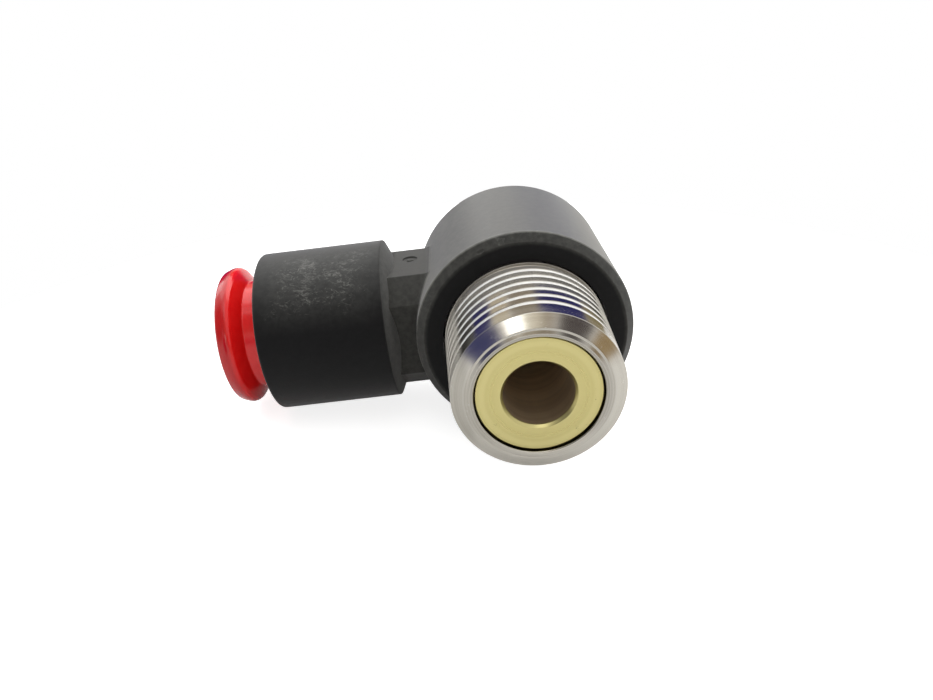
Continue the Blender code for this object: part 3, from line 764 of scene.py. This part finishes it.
# %% bores
OVERCUT = 1.0
COLLAR_GAP = 0.25
CORE_RADIUS = 7.41
RUNNING_GAP = 0.2
PASSAGE_RADIUS = 4.4
TUBE_RADIUS = 6.0
TUBE_SEAT_RADIUS = TUBE_RADIUS + 0.12
_, front_washer_rear, _ = stem_span("thrust_washer_front")
rear_washer_front, _, _ = stem_span("thrust_washer_rear")
SEAL_START, SEAL_END, SEAL_RADIUS = tube_span("tube_seal")
HOLDER_START, HOLDER_END, _ = tube_span("grab_ring_holder")

carve(elbow, turned_piece("stem_cavity", STEM, [
    (0, DRUM_LENGTH + OVERCUT),
    (HEAD_RADIUS + COLLAR_GAP, DRUM_LENGTH + OVERCUT),
    (HEAD_RADIUS + COLLAR_GAP, rear_washer_front - SEAT_GAP),
    (CORE_RADIUS + RUNNING_GAP, rear_washer_front - SEAT_GAP),
    (CORE_RADIUS + RUNNING_GAP, front_washer_rear + SEAT_GAP),
    (COLLAR_RADIUS + COLLAR_GAP, front_washer_rear + SEAT_GAP),
    (COLLAR_RADIUS + COLLAR_GAP, -OVERCUT),
    (0, -OVERCUT),
]))
carve(elbow, turned_piece("tube_cavity", TUBE, [
    (0, MOUTH + OVERCUT),
    (GUIDE_RADIUS + SEAT_GAP, MOUTH + OVERCUT),
    (GUIDE_RADIUS + SEAT_GAP, HOLDER_END + SEAT_GAP),
    (SEAL_RADIUS + SEAT_GAP, HOLDER_END + SEAT_GAP),
    (SEAL_RADIUS + SEAT_GAP, SEAL_START - SEAT_GAP),
    (TUBE_SEAT_RADIUS, SEAL_START - SEAT_GAP),
    (TUBE_SEAT_RADIUS, NECK_END),
    (PASSAGE_RADIUS, NECK_END),
    (PASSAGE_RADIUS, 0),
    (0, 0),
]))
print("body with its bores:", len(elbow.data.polygons), "faces")

# %% [markdown]
# ## Small marks on the body
# The neck's upper side has the round recess where the plastic was let into the mould, with the stub of the
# gate in it, and the drum's front edge is nicked in two places. They are cut as real shapes, so that they
# catch the light and show on the mesh.

# %% gate mark and nicks
GATE_STATION = 14.7
GATE_REAR = 1.15
NICKS = (
    # angle from the top in degrees, radius, station, and size across, around and along
    (15.4, DRUM_RADIUS + 0.05, 0.72, (0.3, 0.5, 0.3)),
    (-20.5, DRUM_RADIUS - 0.75, 0.1, (0.35, 0.7, 0.3)),
)
gate_place = Matrix.Translation((NECK_WIDTH / 2, GATE_REAR, GATE_STATION))
gate_axis = TUBE @ gate_place @ Matrix.Rotation(math.pi / 2, 4, "Y")
carve(elbow, turned_piece("gate_recess", gate_axis, [
    (0, OVERCUT), (1.15, OVERCUT), (1.1, 0), (1.0, -0.22), (0.55, -0.24), (0.42, -0.09), (0, -0.06),
]))
for angle, radius, station, size in NICKS:
    around_stem = Matrix.Rotation(-math.pi / 2 + math.radians(angle), 4, "Z")
    place = STEM @ around_stem @ Matrix.Translation((radius, 0, station)) @ Matrix.Diagonal((*size, 1.0))
    dent = bmesh.new()
    bmesh.ops.create_icosphere(dent, subdivisions=2, radius=1.0, matrix=place)
    carve(elbow, scene_object("nick", to_mesh(dent, "nick")))
dress(elbow, NYLON, "elbow", "black_nylon", "elbow_body")

# %% [markdown]
# ## The thread
# A pipe thread follows a rule: one groove that climbs a pitch for each turn on a slightly tapered stud. That
# is a job for Geometry Nodes. A flat grid is rolled up so that its rows run along the thread and not around
# the stud: then each edge of the groove is a row of the grid and stays crisp. The rows that would run past
# the thread's ends are held there, and merging by distance closes the seam and the ends.

# %% trees on an object
def end_tree(graph, geometry, material):
    """Every tree ends in real geometry with its material set."""
    realized = graph.node("GeometryNodeRealizeInstances", {"Geometry": geometry})
    finished = graph.node("GeometryNodeSetMaterial", {"Geometry": realized.outputs[0], "Material": material})
    graph.node("NodeGroupOutput", {"Geometry": finished.outputs[0]})


def apply_tree(obj, tree, values):
    """Runs a tree on an object with these named inputs and keeps the plain mesh."""
    modifier = obj.modifiers.new(tree.name, "NODES")
    modifier.node_group = tree
    names = {item.name: item.identifier for item in tree.interface.items_tree if item.in_out == "INPUT"}
    for name, value in values.items():
        modifier[names[name]] = value
    apply_modifiers(obj)


# %% thread tree
PITCH = 1.814
CREST_AT_START = GAUGE_RADIUS + (THREAD_START - GAUGE_STATION) * TAPER
RELIEF_RADIUS = GAUGE_RADIUS + (THREAD_END - GAUGE_STATION) * TAPER - 0.4
ROWS_PER_PITCH = 32
THREAD_SIZES = {
    "Pitch": PITCH, "Groove Depth": 0.33, "Groove Width": 0.43, "Groove Floor": 0.17,
    "Groove Phase": 20 / ROWS_PER_PITCH, "Start": THREAD_START, "End": THREAD_END, "Turns": 9.0,
    "First Turn": 1.25, "Relief Radius": RELIEF_RADIUS, "Burr": 0.05,
}


def thread_tree():
    """A tree that rolls a grid into a tapered thread, in millimetres around Z."""
    inputs = THREAD_SIZES | {"Material": "Material"}
    tree, graph, given = new_tree("Geometry", "pipe_thread", inputs, {"Geometry": "Geometry"})
    rows = graph.product(given["Turns"], ROWS_PER_PITCH)
    grid = graph.node("GeometryNodeMeshGrid", {
        "Size X": 1.0, "Size Y": 1.0, "Vertices X": SEGMENTS + 1, "Vertices Y": graph.total(rows, 1.0)})
    place = graph.split(graph.node("GeometryNodeInputPosition").outputs[0])
    around = graph.total(place["X"], 0.5)
    row = graph.product(graph.total(place["Y"], 0.5), given["Turns"])
    # Half a row keeps rounding from sending a row to the turn below
    row_turn = graph.math("FLOOR", graph.total(row, 0.5 / ROWS_PER_PITCH))
    phase = graph.minus(row, row_turn)
    climb = graph.minus(graph.total(row, around), 1.0)
    raw = graph.total(graph.product(climb, given["Pitch"]), given["Start"])
    station = graph.math("MINIMUM", graph.larger(raw, given["Start"]), given["End"])
    angle = graph.product(around, math.tau)
    cos, sin = graph.math("COSINE", angle), graph.math("SINE", angle)
    # Torn edges: a fine noise along the thread moves the groove's edges in and out
    seed = graph.join(graph.product(cos, 60.0), graph.product(sin, 60.0), graph.product(climb, 7.0))
    torn = graph.product(graph.minus(graph.noise(seed, 1.0, 2.0), 0.5), given["Burr"])
    off = graph.math("ABSOLUTE", graph.minus(phase, given["Groove Phase"]))
    half_width = graph.total(graph.product(given["Groove Width"], 0.5), torn)
    half_floor = graph.product(given["Groove Floor"], 0.5)
    flank = graph.ratio(graph.minus(half_width, off), graph.minus(half_width, half_floor))
    flank = graph.math("MINIMUM", graph.larger(flank, 0.0), 1.0)
    first = given["First Turn"]
    run_out = graph.ramp(graph.total(row_turn, around), graph.minus(first, 0.08), graph.total(first, 0.12))
    groove = graph.product(flank, given["Groove Depth"], run_out)
    thread_radius = graph.minus(crest_at(graph, station), groove)
    past_end = graph.math("GREATER_THAN", raw, graph.minus(given["End"], 0.001))
    ends = {0: past_end, 2: thread_radius, 3: given["Relief Radius"]}
    radius = graph.node("ShaderNodeMix", ends).outputs[0]
    position = graph.join(graph.product(radius, cos), graph.product(radius, sin), station)
    rolled = graph.node("GeometryNodeSetPosition", {"Geometry": grid.outputs["Mesh"], "Position": position})
    merged = graph.node("GeometryNodeMergeByDistance", {"Geometry": rolled.outputs[0], "Distance": 0.0005})
    end_tree(graph, merged.outputs[0], given["Material"])
    return tree


stud = scene_object("stud_shell", bpy.data.meshes.new("stud"))
apply_tree(stud, thread_tree(), {"Material": NICKEL})
print("thread has", len(stud.data.polygons), "faces")

# %% [markdown]
# ## The threaded stud
# The rest of the stud is turned: its nose chamfer and rim, its bore, and the collar that sits in the drum. It
# starts and ends on the thread's own end rings, so the two meshes merge point by point into one closed body.

# %% threaded stud
NOSE_RIM_RADIUS = 8.66
NOSE_STEP = 0.2
STUD_BORE_RADIUS = CORE_RADIUS + RUNNING_GAP
SMALL_CHAMFER = 0.1
nose_profile = [(CREST_AT_START, THREAD_START)] + soften([
    (CREST_AT_START, THREAD_START),
    (CREST_AT_START - 0.04, THREAD_START - 0.04),
    (NOSE_RIM_RADIUS, STUD_NOSE + NOSE_STEP),
    (NOSE_RIM_RADIUS - 0.26, STUD_NOSE + NOSE_STEP),
    (NOSE_RIM_RADIUS - 0.6, STUD_NOSE),
    (STUD_BORE_RADIUS + SMALL_CHAMFER, STUD_NOSE),
    (STUD_BORE_RADIUS, STUD_NOSE + SMALL_CHAMFER),
    (STUD_BORE_RADIUS, STUD_REAR - SMALL_CHAMFER),
    (STUD_BORE_RADIUS + SMALL_CHAMFER, STUD_REAR),
    (COLLAR_RADIUS - SMALL_CHAMFER, STUD_REAR),
    (COLLAR_RADIUS, STUD_REAR - SMALL_CHAMFER),
    (COLLAR_RADIUS, 0),
    (RELIEF_RADIUS, 0, 0.25),
    (RELIEF_RADIUS, THREAD_END),
], FINE_ROUND, closed=False)[1:]
rest_of_stud = lathe(nose_profile[::-1], STEM, closed=False)
stud.data.transform(STEM)
rest_of_stud.from_mesh(stud.data)
bmesh.ops.remove_doubles(rest_of_stud, verts=rest_of_stud.verts, dist=1e-6)
print("open edges on the stud:", sum(edge.is_boundary for edge in rest_of_stud.edges))
stud.data = to_mesh(rest_of_stud, "stud")
dress(stud, NICKEL, "stem", "nickel_plate", "threaded_stud")

# %% [markdown]
# ## The brass core
# The core is a bored bolt. It is turned in one go, with a groove for each O-ring and a waist for the air, and
# then the cross holes and the hexagon for the key are cut.

# %% brass core
BORE_MOUTH_RADIUS = 4.5
BORE_MOUTH_LENGTH = 0.95
BORE_BEVEL = 0.3
WAIST_RADIUS = 6.2
WAIST_HALF_LENGTH = 3.4
GROOVE_RADIUS = CORE_RADIUS - 1.46
GROOVE_HALF_WIDTH = 1.0
HEAD_THICKNESS = 2.5
HEAD_CHAMFER = 0.4
CROSS_HOLE_RADIUS = 2.2
DRILL_POINT = 2.5
HEX_ACROSS_FLATS = 8.0
HEX_DEPTH = 5.0


def oring_groove(node):
    """The corners of the groove around an O-ring, from its rear edge to its front edge."""
    front, rear, _ = stem_span(node)
    middle = (front + rear) / 2
    return [
        (CORE_RADIUS, middle + GROOVE_HALF_WIDTH), (GROOVE_RADIUS, middle + GROOVE_HALF_WIDTH),
        (GROOVE_RADIUS, middle - GROOVE_HALF_WIDTH), (CORE_RADIUS, middle - GROOVE_HALF_WIDTH),
    ]


core = turned_piece("core_shell", STEM, [
    (0, HEAD_REAR),
    (HEAD_RADIUS - HEAD_CHAMFER, HEAD_REAR),
    (HEAD_RADIUS, HEAD_REAR - HEAD_CHAMFER),
    (HEAD_RADIUS, HEAD_REAR - HEAD_THICKNESS),
    (CORE_RADIUS, HEAD_REAR - HEAD_THICKNESS),
    *oring_groove("stem_seal_rear"),
    (CORE_RADIUS, TUBE_STATION + WAIST_HALF_LENGTH),
    (WAIST_RADIUS, TUBE_STATION + WAIST_HALF_LENGTH),
    (WAIST_RADIUS, TUBE_STATION - WAIST_HALF_LENGTH),
    (CORE_RADIUS, TUBE_STATION - WAIST_HALF_LENGTH),
    *oring_groove("stem_seal_front"),
    (CORE_RADIUS, CORE_NOSE, 0.12),
    (BORE_MOUTH_RADIUS, CORE_NOSE),
    (BORE_MOUTH_RADIUS - BORE_BEVEL, CORE_NOSE + BORE_BEVEL_LENGTH),
    (BORE_RADIUS, CORE_NOSE + BORE_MOUTH_LENGTH),
    (BORE_RADIUS, TUBE_STATION + CROSS_HOLE_RADIUS),
    (0, TUBE_STATION + CROSS_HOLE_RADIUS + DRILL_POINT),
])


def drill(radius, length, sides, place):
    shape = bmesh.new()
    bmesh.ops.create_cone(
        shape, cap_ends=True, segments=sides, radius1=radius, radius2=radius, depth=length, matrix=place)
    return scene_object("drill", to_mesh(shape, "drill"))


cross = STEM @ Matrix.Translation((0, 0, TUBE_STATION))
for side in "YX":
    carve(core, drill(CROSS_HOLE_RADIUS, 2 * CORE_RADIUS, 64, cross @ Matrix.Rotation(math.pi / 2, 4, side)))
hex_place = STEM @ Matrix.Translation((0, 0, HEAD_REAR + (OVERCUT - HEX_DEPTH) / 2))
carve(core, drill(HEX_ACROSS_FLATS / math.sqrt(3), HEX_DEPTH + OVERCUT, 6, hex_place))
dress(core, BRASS, "stem", "brass", "stem_core")

# %% [markdown]
# ## Slots around a ring
# The collet is slit so that its barbs can spring in, and the grab ring is slit into teeth. Both are the same
# job: one block repeated around the axis. A small Geometry Nodes tree sets a number of points, turns a copy
# of the block at each of them, and the result is used as a cutter.

# %% slot tree
def slot_tree():
    """A tree that repeats the object's own mesh around Z."""
    inputs = {"Geometry": "Geometry", "Count": "Int", "Material": "Material"}
    tree, graph, given = new_tree("Geometry", "ring_of_slots", inputs, {"Geometry": "Geometry"})
    points = graph.node("GeometryNodePoints", {"Count": given["Count"]})
    index = graph.node("GeometryNodeInputIndex").outputs[0]
    turn = graph.ratio(graph.product(graph.total(index, 0.5), math.tau), given["Count"])
    rotation = graph.node("FunctionNodeEulerToRotation", {0: graph.join(0.0, 0.0, turn)})
    copies = graph.node("GeometryNodeInstanceOnPoints", {
        "Points": points.outputs[0], "Instance": given["Geometry"], "Rotation": rotation.outputs[0]})
    end_tree(graph, copies.outputs[0], given["Material"])
    return tree


SLOT_TREE = slot_tree()


def slots(count, width, inner, outer, low, high, material):
    """A ring of blocks about the tube's axis, to cut with."""
    shape = bmesh.new()
    bmesh.ops.create_cube(shape, size=1.0)
    bmesh.ops.scale(shape, vec=(outer - inner, width, high - low), verts=shape.verts)
    bmesh.ops.translate(shape, vec=((inner + outer) / 2, 0, (low + high) / 2), verts=shape.verts)
    obj = scene_object("slots", to_mesh(shape, "slots"))
    apply_tree(obj, SLOT_TREE, {"Count": count, "Material": material})
    obj.data.transform(TUBE)
    return obj


print("made", SLOT_TREE.name)

# %% [markdown]
# ## The release collet
# The collet's flange is what a finger presses. It leans back from its front, rolls over a round ridge and
# falls to the neck. The neck goes into the socket, where its barbs catch behind the guide.

# %% release collet
COLLET_BORE = TUBE_RADIUS + 0.2
COLLET_NECK = COLLET_BORE + 1.5
COLLET_MOUTH = 0.8
FLANGE_CONE = 1.4
FLANGE_FRONT_RADIUS = FLANGE_RADIUS - 0.7
NOSE_WALL = 0.6
BARB_RADIUS = COLLET_NECK + 0.5
BARB_STATION = COLLET_NOSE + 1.5
CATCH_STATION = BARB_STATION + 0.45
SLIT_COUNT = 4
SLIT_WIDTH = 0.9
SLIT_END = GUIDE_END - 0.6

collet = turned_piece("collet_shell", TUBE, [
    (COLLET_BORE, COLLET_FRONT - COLLET_MOUTH),
    (COLLET_BORE + COLLET_MOUTH, COLLET_FRONT, 0.3),
    (FLANGE_FRONT_RADIUS, COLLET_FRONT, 0.6),
    (FLANGE_RADIUS, RIDGE_STATION, 1.2),
    (COLLET_NECK, RIDGE_STATION - FLANGE_CONE, 0.3),
    (COLLET_NECK, CATCH_STATION),
    (BARB_RADIUS, CATCH_STATION),
    (BARB_RADIUS, BARB_STATION),
    (COLLET_BORE + NOSE_WALL, COLLET_NOSE),
    (COLLET_BORE, COLLET_NOSE),
])
carve(collet, slots(
    SLIT_COUNT, SLIT_WIDTH, COLLET_BORE - OVERCUT, BARB_RADIUS + OVERCUT,
    COLLET_NOSE - OVERCUT, SLIT_END, RED))
dress(collet, RED, "collet", "red_acetal", "release_collet")

# %% [markdown]
# ## What the socket holds
# Through the collet one can see the guide that keeps it in, the grab ring with its teeth, the ring that backs
# the teeth, and the lip seal. They are turned again with more sides and rounded edges, and the guide's mouth
# gets a small countersink.

# %% guide and grab ring
GUIDE_LIP_RADIUS = COLLET_NECK + 0.15
GUIDE_POCKET = BARB_RADIUS + 0.35
LIP_STATION = GUIDE_END - 1.7
COUNTERSINK = 0.6
COUNTERSINK_DEPTH = 0.35
GRAB_START, GRAB_END, _ = tube_span("grab_ring")
GRAB_THICKNESS = 0.5
GRAB_SLOPE = 0.7
GRAB_ROUND = 0.04
GRAB_RIM = GUIDE_RADIUS - 1.25
GRIP_RADIUS = TUBE_RADIUS - 0.25
TOOTH_COUNT = 12
TOOTH_GAP = 1.0
TOOTH_LENGTH = 2.1

guide = turned_piece("guide_shell", TUBE, [
    (GUIDE_LIP_RADIUS, GUIDE_END - COUNTERSINK_DEPTH),
    (GUIDE_LIP_RADIUS + COUNTERSINK, GUIDE_END),
    (GUIDE_RADIUS, GUIDE_END, 0.15),
    (GUIDE_RADIUS, GUIDE_START),
    (GUIDE_POCKET, GUIDE_START),
    (GUIDE_POCKET, LIP_STATION),
    (GUIDE_LIP_RADIUS, LIP_STATION),
])
dress(guide, GUIDE_BLACK, "elbow", "guide_nylon", "collet_guide")

tooth_lean = (GRAB_RIM - GRIP_RADIUS) * GRAB_SLOPE
grab = turned_piece("grab_shell", TUBE, [
    (GRIP_RADIUS, GRAB_END - tooth_lean),
    (GRAB_RIM, GRAB_END),
    (GUIDE_RADIUS, GRAB_END),
    (GUIDE_RADIUS, GRAB_END - GRAB_THICKNESS),
    (GRAB_RIM, GRAB_END - GRAB_THICKNESS),
    (GRIP_RADIUS, GRAB_START),
], GRAB_ROUND)
carve(grab, slots(
    TOOTH_COUNT, TOOTH_GAP, GRIP_RADIUS - OVERCUT, GRIP_RADIUS + TOOTH_LENGTH,
    GRAB_START - OVERCUT, GRAB_END + OVERCUT, STEEL))
dress(grab, STEEL, "elbow", "spring_steel", "grab_ring")

# %% holder and seal
HOLDER_BORE = TUBE_RADIUS + 0.3
SEAL_BACK = GRIP_RADIUS + 0.8
SEAL_MIDDLE = (SEAL_START + SEAL_END) / 2
SEAL_LIP = 0.5
SEAL_ROUND = 0.12

holder = turned_piece("holder_shell", TUBE, [
    (HOLDER_BORE, HOLDER_END - (GRAB_RIM - HOLDER_BORE) * GRAB_SLOPE),
    (GRAB_RIM, HOLDER_END),
    (SEAL_RADIUS, HOLDER_END),
    (SEAL_RADIUS, HOLDER_START),
    (HOLDER_BORE, HOLDER_START),
])
dress(holder, NATURAL, "elbow", "holder_acetal", "grab_ring_holder")

seal = turned_piece("seal_shell", TUBE, [
    (SEAL_BACK, SEAL_END),
    (SEAL_RADIUS, SEAL_END, 0.2),
    (SEAL_RADIUS, SEAL_START, 0.2),
    (SEAL_BACK, SEAL_START),
    (GRIP_RADIUS, SEAL_MIDDLE - SEAL_LIP),
    (GRIP_RADIUS, SEAL_MIDDLE + SEAL_LIP),
], SEAL_ROUND)
dress(seal, RUBBER, "elbow", "seal_rubber", "tube_seal")

# %% [markdown]
# ## Hidden rings
# The O-rings and thrust washers sit between the core and the body, where nothing shows. Their shapes are
# right as they are, so they only change their finish.

# %% hidden rings
HIDDEN = {
    "stem_seal_front": RUBBER, "stem_seal_rear": RUBBER,
    "thrust_washer_front": NATURAL, "thrust_washer_rear": NATURAL,
}
for node, finish in HIDDEN.items():
    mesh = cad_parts[node].data
    mesh.materials.clear()
    mesh.materials.append(finish)
print("finished", sorted(HIDDEN))

# %% [markdown]
# ## The floor
# The fitting lies on pale card, on its drum and its socket, so the card leans a little against the model's
# own ground. To the camera it is lifted past white, which leaves only a faint shadow of the fitting. In the
# metal it is lifted just to white.

# %% floor
FLOOR_TILT = math.asin((DRUM_RADIUS - SOCKET_RADIUS) / MOUTH)
FLOOR_RADIUS = 0.11
FLOOR_GREY = 0.64
WHITE = grey(1.0)
CAMERA_LIFT = 0.8
MIRROR_LIFT = 0.13


def backdrop_rays(graph):
    """Masks of the rays that come straight from the camera, and of those that metal or glass sends on."""
    path = graph.node("ShaderNodeLightPath").outputs
    return path["Is Camera Ray"], graph.larger(path["Is Glossy Ray"], path["Is Transmission Ray"])


def pale_card():
    material, graph, shader = new_material("pale_card")
    seen, mirrored = backdrop_rays(graph)
    graph.fill(shader, {
        "Base Color": grey(FLOOR_GREY), "Emission Color": WHITE,
        "Emission Strength": graph.weighted(graph.product(seen, CAMERA_LIFT), (mirrored, MIRROR_LIFT)),
    })
    return material


floor_shape = bmesh.new()
bmesh.ops.create_circle(floor_shape, cap_ends=True, segments=96, radius=FLOOR_RADIUS)
about_stem = Matrix.Translation((STEM_X, 0, AXIS_Z)) @ Matrix.Rotation(FLOOR_TILT, 4, "Y")
under_drum = about_stem @ Matrix.Translation((0, 0, -DRUM_RADIUS * MM))
bmesh.ops.transform(floor_shape, matrix=under_drum, verts=floor_shape.verts)
floor = scene_object("floor", to_mesh(floor_shape, "floor"))
floor.data.materials.append(pale_card())
print("floor leans", round(math.degrees(FLOOR_TILT), 2), "degrees")

# %% [markdown]
# ## The camera
# The view was worked out from the picture by fitting circles of known size. It looks down at the nose of the
# stem from close by, with a slight roll.

# %% camera
IMAGE_WIDTH = 933
FOCAL_PIXELS = 720.0
AZIMUTH, ELEVATION, ROLL = math.radians(-1.50), math.radians(27.64), math.radians(-7.33)
OFFSET_RIGHT, OFFSET_UP, DISTANCE = -7.86, -1.447, 94.92
SENSOR_WIDTH = 36.0


def direction(azimuth, elevation):
    """A unit vector: azimuth 0 points along the stem to its rear, 90 degrees to the right."""
    level = math.cos(elevation)
    return Vector((math.sin(azimuth) * level, math.cos(azimuth) * level, math.sin(elevation)))


forward = direction(AZIMUTH, -ELEVATION)
level = Vector((math.cos(AZIMUTH), -math.sin(AZIMUTH), 0))
upright = level.cross(forward)
right = level * math.cos(ROLL) + upright * math.sin(ROLL)
up = upright * math.cos(ROLL) - level * math.sin(ROLL)
eye = STEM_ORIGIN + (right * OFFSET_RIGHT + up * OFFSET_UP - forward * DISTANCE) * MM
camera_data = bpy.data.cameras.new("photo_camera")
camera_data.sensor_width = SENSOR_WIDTH
camera_data.lens = FOCAL_PIXELS * SENSOR_WIDTH / IMAGE_WIDTH
camera_data.clip_start, camera_data.clip_end = 0.001, 10.0
camera = scene_object("photo_camera", camera_data)
turned_view = Matrix((right, up, -forward)).transposed().to_4x4()
camera.matrix_world = Matrix.Translation(eye) @ turned_view
bpy.context.scene.camera = camera
bpy.context.scene.view_settings.view_transform = "Standard"
print("camera at (mm):", [round(side / MM, 1) for side in eye])

# %% [markdown]
# ## The studio
# Metal shows what stands around it, so the studio matters as much as the finish. The room is white, a row of
# soft boxes hangs above and behind the fitting, one lamp stands in front, and a few dark and warm things in
# the room give the plated stud its blue, brown and grey bands. Each is a soft round patch of the world's sky,
# given by where it lies: azimuth 0 is straight behind the fitting and 90 is on its right. Metal sees the same
# white room as the camera, with the patches in it. The camera sees no patches.

# %% studio
ROOM = grey(0.85)
PATCHES = (
    # azimuth, elevation, radius and soft edge in degrees, then the colour
    (-40, 56, 18, 8, grey(2.6)),
    (0, 58, 18, 8, grey(2.6)),
    (42, 54, 19, 8, grey(3.0)),
    (62, 20, 15, 8, grey(3.3)),
    (180, 74, 12, 10, grey(1.8)),
    (-50, 27, 9, 4, grey(3.0)),
    (-110, 28, 16, 14, grey(0.25)),
    (-150, 45, 14, 8, grey(0.3)),
    (180, 31, 16, 8, colour(0.5, 0.43, 0.35)),
    (149, 13, 9.5, 4, colour(0.08, 0.065, 0.07)),
    (-150, 9, 11.5, 4, colour(0.04, 0.045, 0.18)),
    (178, 22.5, 4, 6, colour(1.0, 0.94, 0.8)),
    (-171.5, 21, 4.5, 2.5, grey(4.0)),
    (132.5, -4, 7.5, 3, colour(0.42, 0.29, 0.13)),
    (-17, 24, 5, 3, colour(0.72, 0.64, 0.5)),
    (1, 29, 8, 5, colour(0.38, 0.33, 0.27)),
    (22, 16, 13, 5, colour(0.03, 0.03, 0.16)),
    (-32, 3, 17, 4, colour(0.03, 0.03, 0.16)),
    (29, -6, 8, 3, colour(0.3, 0.25, 0.14)),
)
world = bpy.data.worlds.new("studio")
bpy.context.scene.world = world
world.use_nodes = True
graph = Graph(world.node_tree)
way = graph.node("ShaderNodeTexCoord").outputs["Generated"]
seen, mirrored = backdrop_rays(graph)
room = graph.mix(mirrored, ROOM, WHITE)
for azimuth, elevation, radius, edge, shade in PATCHES:
    middle = direction(math.radians(azimuth), math.radians(elevation))
    near = graph.node("ShaderNodeVectorMath", {0: way, 1: middle}, operation="DOT_PRODUCT").outputs["Value"]
    inside = graph.ramp(near, math.cos(math.radians(radius + edge)), math.cos(math.radians(radius)))
    room = graph.mix(inside, room, shade)
graph.fill(world.node_tree.nodes["Background"], {"Color": graph.mix(seen, room, WHITE)})
print("studio has", len(PATCHES), "patches")
